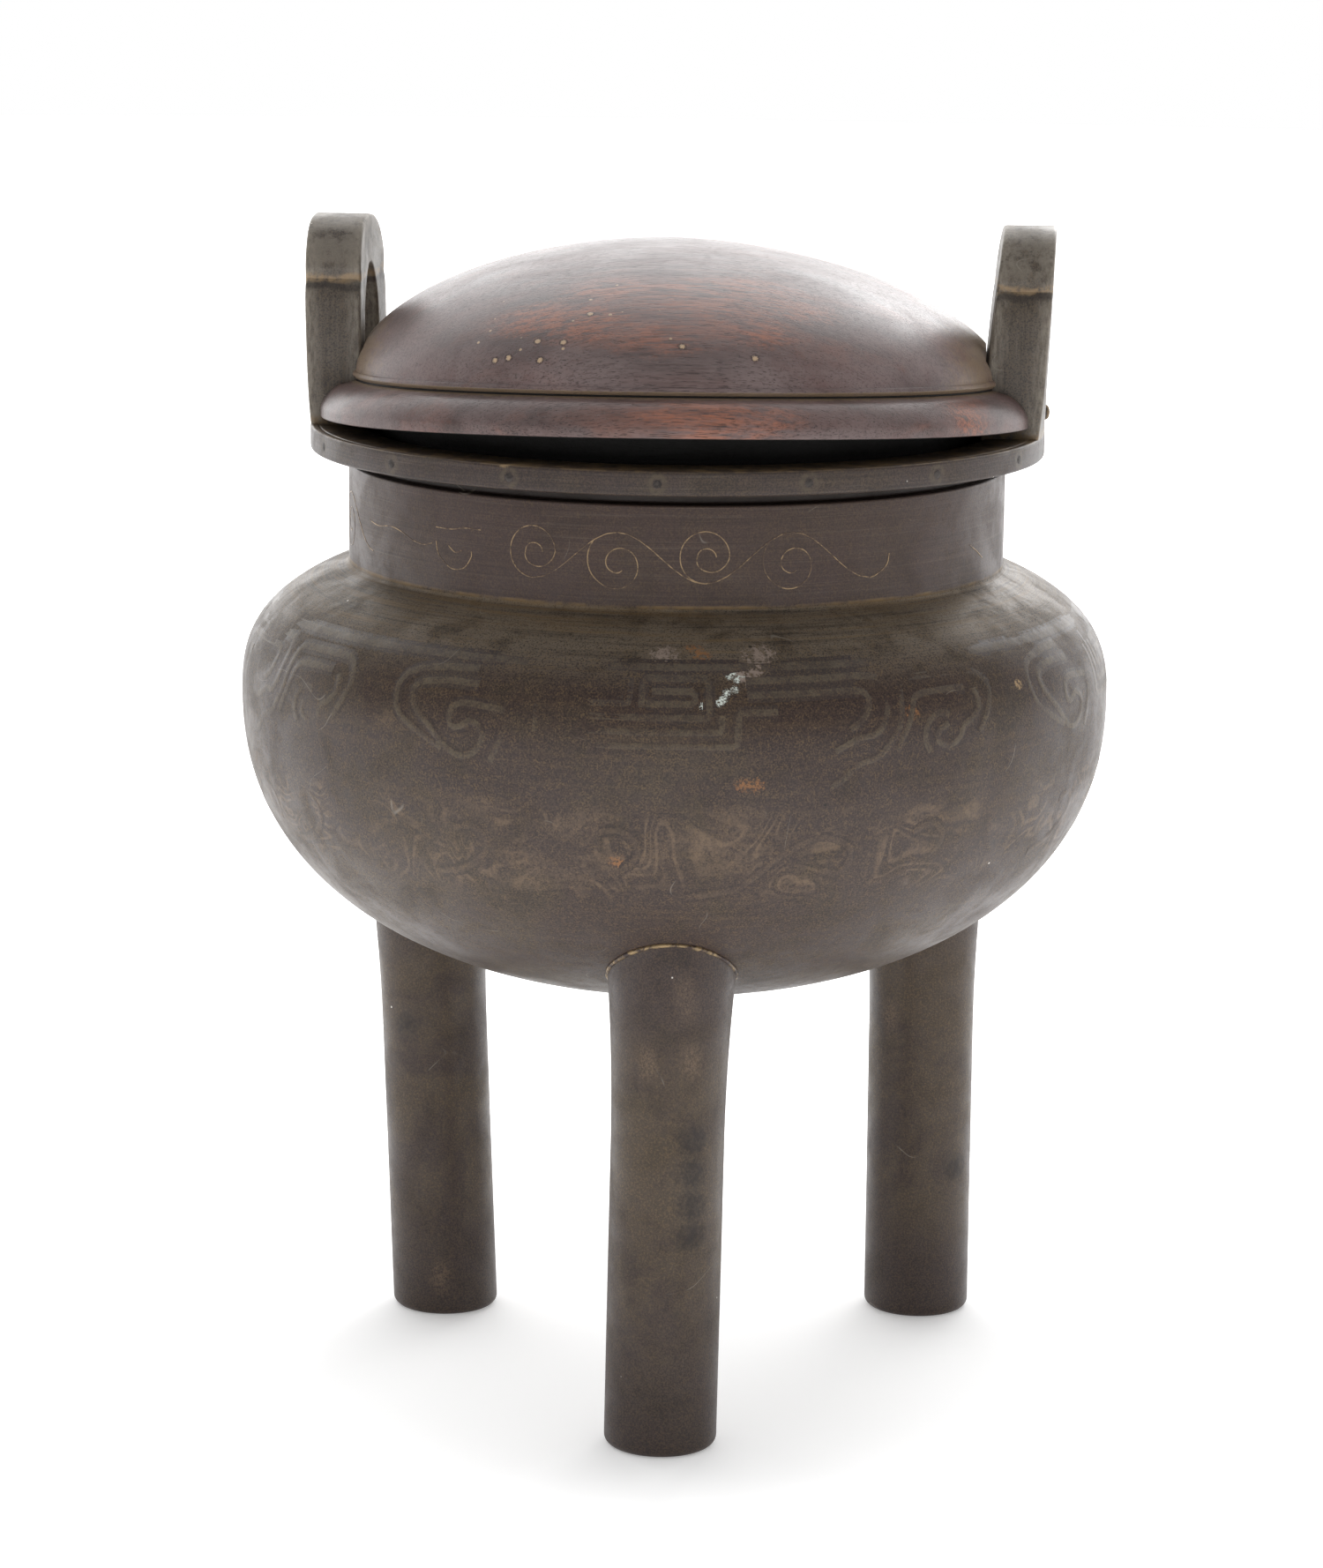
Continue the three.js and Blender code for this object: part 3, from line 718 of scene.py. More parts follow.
class Finish(NodeTree):
    """A material under construction. Sizes of patterns are in millimetres, and a mask goes from 0 to 1."""

    def __init__(self, name, base, **sockets):
        self.base = base
        self.relief = None
        self.material = bpy.data.materials.new(name)
        self.material.use_nodes = True
        super().__init__(self.material.node_tree)
        self.shader = self.tree.nodes["Principled BSDF"]
        self.place = self.put("ShaderNodeTexCoord")["Object"]
        for socket, value in sockets.items():
            label = socket.replace("_", " ").title().replace("Ior", "IOR")
            self.shader.inputs[label].default_value = value

    def paint(self, base, colour, *masks):
        """A colour laid over a base where all the masks meet."""
        values = {0: self.times(*masks), 6: base, 7: colour}
        return self.put("ShaderNodeMix", values, data_type="RGBA")[2]

    def coat(self, colour, *masks):
        """Lays a colour over what the finish has so far, where all the masks meet."""
        self.base = self.paint(self.base, colour, *masks)

    def axis(self, name):
        return self.parts(self.place)[name]

    def mark(self, name):
        """A number stored on the points of the piece."""
        return self.put("ShaderNodeAttribute", attribute_name=name)["Fac"]

    def rise(self, level, band, start=0.0, end=1.0):
        """A soft step from start to end over a band of heights, given in millimetres up from a level."""
        low, high = band
        return self.step(self.axis("Z"), level + low * MM, level + high * MM, start, end)

    def near(self, value, level, band, strength=1.0):
        """Full strength within the inner distance of the band's middle, and none past the outer."""
        middle, inner, outer = band
        away = self.calc("ABSOLUTE", self.calc("SUBTRACT", value, level + middle))
        return self.step(away, inner, outer, strength, 0.0)

    def noise(self, size, detail=3.0, rough=0.55, warp=0.0, seed=0.0):
        """Cloudy values of about 0.3 to 0.7, of one size for all ways or one for each axis."""
        sizes = size if isinstance(size, tuple) else (size,) * 3
        spread = tuple(1 / (each * MM) for each in sizes)
        values = {"Vector": self.place, "Location": (seed,) * 3, "Scale": spread}
        place = self.put("ShaderNodeMapping", values)[0]
        values = {"Vector": place, "Scale": 1.0, "Detail": detail, "Roughness": rough, "Distortion": warp}
        return self.put("ShaderNodeTexNoise", values)[0]

    def cloud(self, size, low, high, start=0.0, end=1.0, **grain):
        """Soft patches, where the noise of that size and grain goes from low to high."""
        return self.step(self.noise(size, **grain), low, high, start, end)

    def spots(self, centres, radius, fade, ragged=0.35, stretch=(1.0, 1.0, 1.0), rough=0.5):
        """1 within a radius of any of the places, falling to 0 over a fade."""
        values = {"Vector": self.place, "Scale": 2 / (radius * MM), "Detail": 3.0, "Roughness": rough}
        shake = self.put("ShaderNodeTexNoise", values)[1]
        shake = self.vector("SUBTRACT", shake, (NOISE_MIDDLE,) * 3)
        shake = self.vector("SCALE", shake, 4 * ragged * radius * MM)
        place = self.vector("ADD", self.place, shake)
        place = self.vector("MULTIPLY", place, tuple(1 / way for way in stretch))
        nearest = None
        for centre in centres:
            spot = tuple(where / way for where, way in zip(centre, stretch))
            away = self.vector("DISTANCE", place, spot)
            nearest = away if nearest is None else self.calc("MINIMUM", nearest, away)
        return self.step(nearest, radius * MM, (radius + fade) * MM, 1.0, 0.0)

    def specks(self, spacing, size, some):
        """Tiny round specks: the share called some of a grid that is a spacing apart."""
        cells = self.put("ShaderNodeTexVoronoi", {"Vector": self.place, "Scale": 1 / (spacing * MM)})
        chosen = self.calc("LESS_THAN", cells["Color"], some)
        small = self.step(cells["Distance"], size / spacing / 2, size / spacing, 1.0, 0.0)
        return self.times(small, chosen)

    def turning(self, along, across, detail=3.0, rough=0.6, seed=0.0):
        """Streaks that run round the Z axis, as a lathe leaves them."""
        flat = self.vector("MULTIPLY", self.place, (1.0, 1.0, 0.0))
        way = self.vector("SCALE", self.vector("NORMALIZE", flat), TURNED_RADIUS / along)
        closeness = 1 / (across * MM)
        height = self.calc("ADD", self.times(self.axis("Z"), closeness), seed)
        values = {
            "Vector": self.vector("ADD", way, self.joined(z=height)),
            "W": self.times(self.vector("LENGTH", flat), closeness),
            "Scale": 1.0,
            "Detail": detail,
            "Roughness": rough,
        }
        return self.put("ShaderNodeTexNoise", values, noise_dimensions="4D")[0]

    def hairlines(self, size, width, some, seed):
        """Thin wandering scratches over part of the surface."""
        wander = self.noise(size, detail=1.0, rough=0.4, warp=0.4, seed=seed)
        line = self.near(wander, NOISE_MIDDLE, (0.0, 0.0, width))
        return self.times(line, self.cloud(11, 1 - some, 1.06 - some, detail=2.0, rough=0.5, seed=seed + 4))

    def bump(self, height, depth):
        """Adds relief that is depth millimetres from lowest to highest."""
        values = {"Height": height, "Strength": 1.0, "Distance": depth * MM}
        if self.relief:
            values["Normal"] = self.relief
        self.relief = self.put("ShaderNodeBump", values)[0]

    def done(self, rough):
        self.feed(self.shader.inputs["Base Color"], self.base)
        self.feed(self.shader.inputs["Roughness"], rough)
        self.feed(self.shader.inputs["Normal"], self.relief)
        return self.material


def in_metres(places):
    """Places that are given in millimetres."""
    return [tuple(MM * each for each in place) for place in places]


def bronze_ground(finish, metal, moss=0.48, speckle=0.42):
    """The mottled, speckled skin and its relief, which all the bronze shares. Gives its roughness."""
    broad = finish.noise(38, detail=4.0, rough=0.6, warp=0.5)
    middle = finish.noise(10, detail=5.0, rough=0.6, warp=0.5, seed=3.1)
    small = finish.noise(1.3, detail=4.0, rough=0.7, seed=7.7)
    grain = finish.noise(0.3, detail=2.0, rough=0.6, seed=2.3)
    mossy = finish.calc("ADD", broad, finish.times(middle, 0.6))
    finish.coat(metal.moss, finish.step(mossy, 0.7, 0.92, 0.0, moss))
    finish.coat(metal.shade, finish.step(middle, 0.52, 0.72, 0.0, 0.5))
    golden = finish.times(finish.step(grain, 0.48, 0.6), finish.step(small, 0.4, 0.62, 0.14, speckle))
    finish.coat(metal.dirt, golden)
    finish.coat(metal.shade, finish.step(grain, 0.5, 0.36, 0.0, 0.65))
    finish.coat(metal.shade, finish.step(small, 0.42, 0.28, 0.0, 0.5))
    uneven = finish.calc("ADD", middle, finish.times(small, 0.5))
    finish.bump(small, 0.03)
    finish.bump(grain, 0.02)
    return finish.step(uneven, 0.55, 0.95, 0.38, 0.56)


def aged(finish, metal, scratches=0.4):
    """Fine scratches, specks of dust and pits over a bronze skin."""
    fine = finish.hairlines(size=16, width=0.0035, some=scratches, seed=11.0)
    finish.coat(metal.worn, fine, 0.55)
    short = finish.hairlines(size=5, width=0.006, some=scratches * 0.8, seed=21.0)
    finish.coat(metal.worn, short, 0.3)
    finish.coat(metal.dust, finish.specks(spacing=4.2, size=0.27, some=0.14))
    pits = finish.specks(spacing=6.3, size=0.4, some=0.1)
    finish.coat(PIT_COLOUR, pits, 0.8)


def belly_curve(bowl, height):
    """Span and fullness of the belly's curve at a height above the floor."""
    if height > bowl.belly_height:
        return bowl.shoulder_rise, bowl.shoulder_fullness
    return bowl.underside_drop, bowl.underside_fullness


def on_bowl(bowl, degrees, millimetres):
    """The place on the bowl's outside at an angle to the right of the front and a height above the floor."""
    height = millimetres * MM
    span, fullness = belly_curve(bowl, height)
    across = curve_height(abs(height - bowl.belly_height), span, bowl.belly_radius, fullness)
    turn = math.radians(degrees)
    return across * math.sin(turn), -across * math.cos(turn), height


# Bands of the bowl's skin, in millimetres up from the neck's foot. The shoulder's lighter olive is partly
# painted light from above
SHOULDER_SKIN_AND_TOP_LIGHT = (-13, -2)
NECK_SKIN = (0.2, 1.2)
SHOULDER_STREAKS = (-9, -3)
SHOULDER_DUST = (-6, 0)
SHOULDER_DULLNESS = (-20, -6)
SHOULDER_BRUSHING = (-16, 0)
# From the widest ring, and from the groove under the rim: painted shade under the belly and in the groove
UNDERSIDE_SHADE = (-34, -50)
GROOVE_SHADE = (-0.4, 0)
# Middle, full reach and outer reach of the line of dirt at the neck's foot and of the curls low on the belly
DIRT_LINE = (0.7 * MM, 0.1 * MM, 0.45 * MM)
LOW_CURLS = (-16 * MM, 5 * MM, 10 * MM)

# Places of the marks on the belly: degrees to the right of the front and millimetres above the floor
BELLY_MARKS = {
    "stain": {
        "spots": {"radius": 1.1, "fade": 2.6, "ragged": 1.6, "stretch": (1.7, 1.7, 0.6)},
        "grain": 0.7,
        "strength": 0.34,
        "places": [
            (-20, 111), (-18, 109), (-19, 106), (-13, 117), (-10, 119), (-5, 111), (-7, 110), (-2, 112),
            (0, 115), (4, 112), (-13, 108), (-25, 120), (16, 107), (8, 111), (8, 120), (8, 117), (8, 114),
            (6, 110), (-38, 133), (33, 118), (118, 117), (150, 124), (-140, 113), (-95, 121), (-170, 108),
        ],
    },
    "rust": {
        "spots": {"radius": 0.7, "fade": 0.6, "ragged": 1.2, "stretch": (1.5, 1.0, 1.0)},
        "grain": 0.7,
        "strength": 0.65,
        "places": [(2.5, 147), (3.5, 146), (8.5, 125), (10, 125), (-7, 111), (31, 136)],
    },
    "chalk": {
        "spots": {"radius": 0.4, "fade": 0.4, "ragged": 1.2},
        "grain": 0.35,
        "strength": 1.0,
        "places": [
            (3.5, 138.5), (4, 139), (4.5, 140), (5.5, 139), (6, 139.5), (6.5, 140.5), (7.5, 141),
            (7.5, 143.5), (7, 143), (8, 142.5), (8.5, 143),
        ],
    },
    "scrape": {
        "spots": {"radius": 1.4, "fade": 0.8, "ragged": 1.0, "stretch": (1.2, 1.0, 1.4)},
        "grain": 1.2,
        "strength": 0.9,
        "places": [(11, 144.5), (9.5, 143), (12, 146.5), (11, 146), (-1.5, 146), (-1, 144.5)],
    },
    "wire": {
        "spots": {"radius": 0.8, "fade": 0.3, "ragged": 0.3},
        "grain": 0.5,
        "strength": 0.9,
        "places": [(50, 138)],
    },
}


def shoulder_skin(finish, metal, neck_foot, on_neck):
    """Streaks, dust, dullness and brushing that run round the shoulder and the neck."""
    streaks = finish.turning(along=30, across=1.0, detail=3.0, rough=0.65)
    on_shoulder = finish.rise(neck_foot, SHOULDER_STREAKS, 0.2, 1.0)
    on_shoulder = finish.times(on_shoulder, finish.step(on_neck, 0.0, 1.0, 1.0, 0.12))
    finish.coat(metal.shade, on_shoulder, finish.step(streaks, 0.52, 0.66, 0.0, 0.4))
    finish.coat(metal.dirt, on_shoulder, finish.step(streaks, 0.47, 0.34, 0.0, 0.4))
    dust = finish.times(finish.rise(neck_foot, SHOULDER_DUST), finish.step(streaks, 0.6, 0.4))
    finish.coat(metal.dirt, dust, finish.step(on_neck, 0.0, 1.0, 0.3, 0.0))
    gloss = finish.rise(neck_foot, SHOULDER_DULLNESS, 0.5, 0.1)
    gloss = finish.calc("MAXIMUM", gloss, finish.times(on_neck, 0.5))
    finish.feed(finish.shader.inputs["Specular IOR Level"], gloss)

    brushed = finish.turning(along=30, across=0.2, detail=2.0, rough=0.7, seed=3.0)
    around = finish.rise(neck_foot, SHOULDER_BRUSHING, 0.25, 1.0)
    finish.coat(metal.shade, around, finish.step(brushed, 0.5, 0.7, 0.0, 0.4))
    finish.coat(metal.worn, around, finish.step(brushed, 0.46, 0.3, 0.0, 0.1))
    line = finish.near(finish.axis("Z"), neck_foot, DIRT_LINE, 0.85)
    finish.coat(metal.dirt, line, finish.cloud(5, 0.36, 0.6))
    finish.bump(brushed, 0.008)


def belly_marks(finish, metal, bowl):
    """Golden curls low on the belly, painted shade in the groove under the rim, and single marks."""
    swirl = finish.times(finish.noise(15, detail=1.5, rough=0.4, warp=0.9, seed=31.0), 75)
    curls = finish.step(finish.calc("SINE", swirl), 0.0, 1.0)
    patches = finish.cloud(10, 0.42, 0.6, rough=0.6, seed=17.0)
    broken = finish.cloud(0.9, 0.36, 0.6, 0.2, 0.6, rough=0.7, seed=5.0)
    low_belly = finish.near(finish.axis("Z"), bowl.belly_height, LOW_CURLS)
    finish.coat(metal.stain, curls, finish.times(patches, broken), low_belly)
    # Painted shade: the sleeve's top, the collar and the mouth in the recess under the rim's overhang are
    # darkened
    groove = rim_bottom(bowl) - bowl.groove_height
    finish.coat(metal.shade, finish.rise(groove, GROOVE_SHADE), 0.8)

    for colour_name, mark in BELLY_MARKS.items():
        centres = [on_bowl(bowl, *place) for place in mark["places"]]
        mask = finish.spots(centres, rough=0.75, **mark["spots"])
        broken = finish.cloud(mark["grain"], 0.4, 0.56, rough=0.7, seed=5.0)
        finish.coat(getattr(metal, colour_name), mask, broken, mark["strength"])


def bowl_finish(metal, bowl):
    finish = Finish("censer_bowl_bronze", metal.belly, metallic=0.1, ior=1.42)
    neck_foot = shoulder_height(bowl)
    on_neck = finish.rise(neck_foot, NECK_SKIN)
    # Olive patina on the top of the shoulder, made lighter there as painted light from above
    finish.coat(metal.shoulder, finish.rise(neck_foot, SHOULDER_SKIN_AND_TOP_LIGHT))
    finish.coat(metal.neck, on_neck)
    # Painted shade: the skin grows darker towards the bottom of the belly, under it
    finish.coat(metal.shade, finish.rise(bowl.belly_height, UNDERSIDE_SHADE, 0.0, 0.5))
    rough = bronze_ground(finish, metal)
    finish.coat(metal.neck, on_neck, 0.5)
    shoulder_skin(finish, metal, neck_foot, on_neck)
    belly_marks(finish, metal, bowl)
    aged(finish, metal)
    return finish.done(rough)


# Distances from a pin's middle at which the olive skin round it begins, is full, fades and ends
PIN_RING = (0.8 * MM, 1.1 * MM, 1.5 * MM, 2.2 * MM)
# Band of dust on the rim's top edge in millimetres from its top, and a bright nick in that edge in metres
RIM_TOP_DUST = (-0.3, -0.05)
RIM_NICK = (-29.5 * MM, -60.2 * MM)


def rim_finish(metal, bowl, rim):
    finish = Finish("censer_rim_bronze", metal.belly, metallic=0.1, ior=1.42)
    rough = bronze_ground(finish, metal, moss=0.4, speckle=0.2)
    brushed = finish.turning(along=24, across=0.3, detail=2.0, rough=0.7)
    finish.coat(metal.shade, finish.step(brushed, 0.46, 0.66, 0.1, 0.6))
    finish.coat(metal.worn, finish.step(brushed, 0.44, 0.28, 0.0, 0.12))
    finish.bump(brushed, 0.012)

    top = rim_top(bowl, rim)
    turn = finish.calc("ARCTAN2", finish.axis("Y"), finish.axis("X"))
    step = 2 * math.pi / rim.pin_count
    count = finish.calc("DIVIDE", finish.calc("SUBTRACT", turn, FRONT + rim.pin_turn), step)
    off = finish.calc("SUBTRACT", count, finish.calc("ROUND", count))
    across = finish.times(off, step * rim_radius(bowl, rim))
    up = finish.calc("SUBTRACT", finish.axis("Z"), top - rim.thickness / 2)
    away = finish.calc("SQRT", finish.calc("ADD", finish.times(across, across), finish.times(up, up)))
    begin, full, fade, end = PIN_RING
    ring = finish.times(finish.step(away, begin, full), finish.step(away, fade, end, 1.0, 0.0))
    finish.coat(metal.moss, ring, finish.cloud(1.2, 0.4, 0.6, 0.25, 0.8))

    dusty = finish.cloud(4, 0.42, 0.6, 0.1, 0.6, detail=4.0, rough=0.7)
    finish.coat(metal.dirt, finish.rise(top, RIM_TOP_DUST), dusty)
    nick = finish.spots([(*RIM_NICK, top)], radius=0.25, fade=0.4, ragged=0.8, stretch=(6.0, 1.0, 1.0))
    finish.coat(metal.wire, nick, 0.7)
    aged(finish, metal)
    return finish.done(rough)


# Bands of wear on the ears, in millimetres up from the crease and from the rim
CROWN_WEAR = (-1, 4)
EAR_FOOT_DIRT = (0.3, 2.2)
# How far the crease wanders, and middle, full reach and outer reach of its bright line, worn metal and
# painted highlight, and of the painted shade below it
CREASE_WANDER = 0.5 * MM
CREASE_WEAR_AND_HIGHLIGHT = (0.0, 0.2 * MM, 1.0 * MM)
CREASE_SHADE = (-1.3 * MM, 0.2 * MM, 1.1 * MM)


def ear_finish(metal, ears, level):
    finish = Finish("censer_ear_bronze", metal.ear, metallic=0.1, ior=1.45)
    rough = bronze_ground(finish, metal, moss=0.4, speckle=0.2)
    filed = finish.noise((0.5, 0.5, 12), detail=3.0, rough=0.6, seed=1.3)
    finish.coat(metal.shade, finish.step(filed, 0.5, 0.72, 0.0, 0.4))
    finish.coat(metal.worn, finish.step(filed, 0.44, 0.28, 0.0, 0.15))
    crease_height = level + CREASE_SHARE * ears.height
    rubbed = finish.cloud(3, 0.32, 0.58, detail=4.0, rough=0.7)
    finish.coat(metal.worn, finish.rise(crease_height, CROWN_WEAR, 0.0, 0.5), rubbed)
    patchy = finish.cloud((0.7, 0.7, 3), 0.36, 0.64, 0.2, 0.75, detail=4.0, rough=0.7)
    finish.coat(metal.worn, finish.mark("edge"), patchy)

    smear = finish.cloud(1.6, 0.36, 0.56, detail=4.0, rough=0.7, seed=6.0)
    wander = finish.cloud(5, 0.3, 0.7, -CREASE_WANDER, CREASE_WANDER, seed=8.0)
    height = finish.calc("ADD", finish.axis("Z"), wander)
    # Painted shade below the crease, and along it a bright line that is worn metal and painted highlight
    finish.coat(metal.shade, finish.near(height, crease_height, CREASE_SHADE, 0.6))
    finish.coat(metal.wire, finish.near(height, crease_height, CREASE_WEAR_AND_HIGHLIGHT, 0.6), smear)
    finish.coat(metal.dirt, finish.rise(level, EAR_FOOT_DIRT, 0.8, 0.0), smear)
    aged(finish, metal, scratches=0.5)
    return finish.done(rough)


# Olive bands of a leg, in millimetres up from the floor and from the leg's joint with the bowl
LEG_OLIVE_START = (8, 30)
LEG_OLIVE_END = (0, -22)
# Places on the legs in millimetres from the origin
LEG_SHADES = [
    (4, -64, 58.5), (4, -64, 52.5), (4, -64, 46.5), (4, -64, 41), (55, 22, 30), (-50, 20, 58),
]
LEG_STAINS = [
    (-4, -64.5, 72.5), (3.5, -64.5, 73), (2, -65, 86), (2.5, -64.5, 83), (-44, 17, 8), (42, 20, 60),
]


def leg_finish(metal, joint):
    finish = Finish("censer_leg_bronze", metal.belly, metallic=0.1, ior=1.42)
    rough = bronze_ground(finish, metal, moss=0.2, speckle=0.2)
    middle = finish.times(finish.rise(0.0, LEG_OLIVE_START), finish.rise(joint, LEG_OLIVE_END))
    patchy = finish.cloud(14, 0.4, 0.6, 0.1, 0.85, detail=5.0, rough=0.7, warp=0.4, seed=8.0)
    olive = finish.times(middle, patchy)
    finish.coat(metal.moss, olive, 0.6)
    finish.coat(metal.dirt, olive, finish.cloud(0.35, 0.48, 0.62, 0.0, 0.45, rough=0.7, seed=9.0))
    dark = finish.spots(in_metres(LEG_SHADES), radius=1.3, fade=2.8, ragged=0.8)
    finish.coat(metal.shade, dark, finish.cloud(1.2, 0.36, 0.56, 0.45, 0.85, rough=0.7, seed=4.0))
    reach = {"radius": 0.4, "fade": 2.6, "ragged": 2.6, "stretch": (1.0, 1.0, 1.8), "rough": 0.85}
    bright = finish.spots(in_metres(LEG_STAINS), **reach)
    golden = finish.cloud(0.5, 0.4, 0.6, 0.0, 0.7, detail=4.0, rough=0.8, seed=12.0)
    finish.coat(metal.stain, bright, golden)
    aged(finish, metal)
    return finish.done(rough)


def metal_finish(name, shade, dark, metallic=0.3, grain=1.5, rough=(0.5, 0.65)):
    """A small metal piece, with a tarnish of its own."""
    finish = Finish(name, shade, metallic=metallic)
    tarnish = finish.noise(grain, detail=4.0, rough=0.65, warp=0.5)
    finish.coat(dark, finish.step(tarnish, 0.4, 0.6))
    finish.bump(tarnish, 0.05)
    return finish.done(finish.step(tarnish, 0.35, 0.65, *rough))


def pin_finish(metal):
    return metal_finish("censer_pin_metal", metal.pin, metal.shade)


def rivet_finish(metal):
    return metal_finish("censer_rivet_metal", metal.pin, metal.dirt)


def braze_finish(metal):
    worn = {"metallic": 0.4, "grain": 2.6, "rough": (0.32, 0.5)}
    return metal_finish("censer_braze", metal.braze, metal.belly, **worn)


def wire_finish(metal):
    finish = Finish("censer_inlay_wire", metal.wire, metallic=0.3)
    tarnish = finish.noise(2.4, detail=4.0, rough=0.7, warp=0.5)
    finish.coat(metal.neck, finish.step(tarnish, 0.42, 0.6, 0.1, 0.9))
    finish.coat(metal.neck, finish.mark("wear"))
    finish.bump(finish.noise(0.8), 0.03)
    return finish.done(finish.step(tarnish, 0.35, 0.65, 0.35, 0.5))


# Where the fret's lines turn to the colour of the stains, in millimetres up from the widest ring
FRET_STAIN = (-5, -9)


def fret_finish(metal, belly_height):
    finish = Finish("censer_fret_bronze", metal.belly, metallic=0.1, ior=1.42)
    rough = bronze_ground(finish, metal)
    ground = finish.base
    worn = finish.cloud(3, 0.36, 0.62, 0.1, 0.62, detail=4.0, rough=0.75, warp=0.5, seed=4.0)
    shake = finish.cloud(0.6, 0.3, 0.7, -0.5, 0.5, detail=4.0, rough=0.8)
    ragged = finish.calc("ADD", finish.mark("ridge"), shake)
    low = finish.rise(belly_height, FRET_STAIN)
    finish.coat(metal.shade, finish.step(ragged, -0.2, 0.6, 0.25, 0.0))
    line_colour = finish.paint(metal.fret, metal.stain, low)
    faint = finish.step(low, 0.0, 1.0, 1.0, 0.5)
    finish.coat(line_colour, finish.step(ragged, 0.2, 1.2), worn, faint)
    finish.coat(ground, finish.mark("wear"))
    aged(finish, metal)
    return finish.done(rough)


# Old wax and painted sheen low on the dome: heights where it begins and is full, going down and going up, in
# millimetres
WAX_AND_SHEEN_ABOVE = (199, 191)
WAX_AND_SHEEN_BELOW = (187, 190)
# Places on the lid in millimetres from the origin: patches rubbed red, drops of old paint and smaller specks
WOOD_RUBBED = [
    (14, -35, 205.5), (5, -38, 205.5), (8, -45, 203), (12, -50, 199.5), (20, -41, 202.5), (0, -44, 203.5),
    (-20, -46, 200.5), (-11, -39, 205), (-14, -49, 199), (-3, -53, 198.5), (14, -36, 204.5),
    (-26, -43, 200.5), (2, -65, 187), (8, -65, 187), (8, -64.5, 183), (14, -64, 186.5), (52, -40, 183),
]
WOOD_FLECKS = [
    (-24, -52, 194), (-20, -51, 197), (-15.5, -46, 201.5), (0.5, -55, 197), (13, -55, 195),
    (-32, -48, 193.5), (-29.5, -49, 194), (-24.5, -49, 197),
]
WOOD_SPECKS = [
    (-35, -43, 196), (-27.5, -47, 197.5), (-20, -52, 196), (-12, -47, 201.5), (-15.5, -41.5, 203.5),
    (-11, -37, 205.5), (-33, -42, 198), (-18.5, -47, 200.5), (-3.5, -47, 202.5), (-1.5, -53.5, 198),
    (-27.5, -49, 195.5), (-31, -34.5, 202.5),
]


def rubbed_red(finish, wood):
    """Red patches where the finish is rubbed through, and a faint warmth elsewhere."""
    reach = {"radius": 1.6, "fade": 4.6, "ragged": 0.9, "stretch": (2.4, 1.1, 0.8), "rough": 0.75}
    rubbed = finish.spots(in_metres(WOOD_RUBBED), **reach)
    along_grain = finish.cloud((9, 1.1, 1.1), 0.38, 0.6, detail=4.0, rough=0.75, seed=3.0)
    finish.coat(wood.rubbed, rubbed, along_grain, 0.8)
    warm = finish.cloud((30, 9, 9), 0.5, 0.7, 0.0, 0.2, detail=4.0, rough=0.65, warp=0.5, seed=14.0)
    finish.coat(wood.rubbed, warm)


def old_paint(finish, wood):
    """Drops and specks of old paint. Gives the mask of the ones that stand up."""
    drops = in_metres(WOOD_FLECKS)
    fleck = finish.spots(drops, radius=0.4, fade=0.2, ragged=0.5)
    dot = finish.spots(in_metres(WOOD_SPECKS), radius=0.22, fade=0.14, ragged=0.5)
    paint = finish.calc("MAXIMUM", fleck, dot)
    finish.coat(wood.dark, finish.spots(drops, radius=0.66, fade=0.3, ragged=0.3), 0.75)
    finish.coat(wood.fleck, paint)
    finish.coat(wood.fleck, finish.specks(spacing=3.6, size=0.24, some=0.14))
    return paint


def wood_finish(wood):
    finish = Finish("censer_lid_hardwood", wood.heart, ior=1.46, coat_weight=0.06, coat_roughness=0.3)
    streaks = finish.noise((50, 6, 6), detail=4.0, rough=0.6, warp=0.3)
    fine = finish.noise((18, 0.4, 0.4), detail=4.0, rough=0.7, seed=2.0)
    pores = finish.noise((3.0, 0.2, 0.2), detail=1.0, rough=0.5, seed=5.0)
    wax = finish.noise((18, 9, 9), detail=5.0, rough=0.65, warp=0.4, seed=9.0)
    finish.coat(wood.dark, finish.step(streaks, 0.36, 0.64))
    rubbed_red(finish, wood)
    # Greyed wax with painted sheen: a grey haze low on the dome, in clouds over it and in streaks along the
    # grain
    low_wax_and_sheen = finish.times(finish.rise(0.0, WAX_AND_SHEEN_ABOVE, 0.0, 0.24), finish.rise(0.0, WAX_AND_SHEEN_BELOW))
    finish.coat(wood.wax_and_sheen, finish.calc("ADD", low_wax_and_sheen, finish.step(wax, 0.32, 0.64, 0.2, 0.62)))
    finish.coat(wood.wax_and_sheen, finish.step(fine, 0.46, 0.34, 0.0, 0.16))
    finish.coat(wood.dark, finish.step(fine, 0.5, 0.66, 0.0, 0.45))
    finish.coat(wood.pore, finish.step(pores, 0.6, 0.66, 0.0, 0.5))
    uneven = finish.times(finish.noise(1.6, detail=5.0, rough=0.8), 2.0)
    dusty = finish.calc("ADD", finish.mark("dust"), uneven)
    finish.coat(wood.dust, finish.step(dusty, 1.3, 2.0, 0.0, 0.72))

    paint = old_paint(finish, wood)
    # Painted shade: the underside, tenon and hollow, which sit in the dark gap under the lid, are painted
    # near black
    finish.coat(wood.soot, finish.mark("soot"))
    rough = finish.step(finish.calc("ADD", wax, finish.times(fine, 0.5)), 0.5, 1.0, 0.34, 0.48)
    rough = finish.calc("ADD", rough, finish.times(finish.mark("soot"), 0.4), clamp=True)
    finish.bump(finish.step(pores, 0.57, 0.65, 1.0, 0.0), 0.05)
    finish.bump(fine, 0.02)
    finish.bump(paint, 0.1)
    return finish.done(rough)


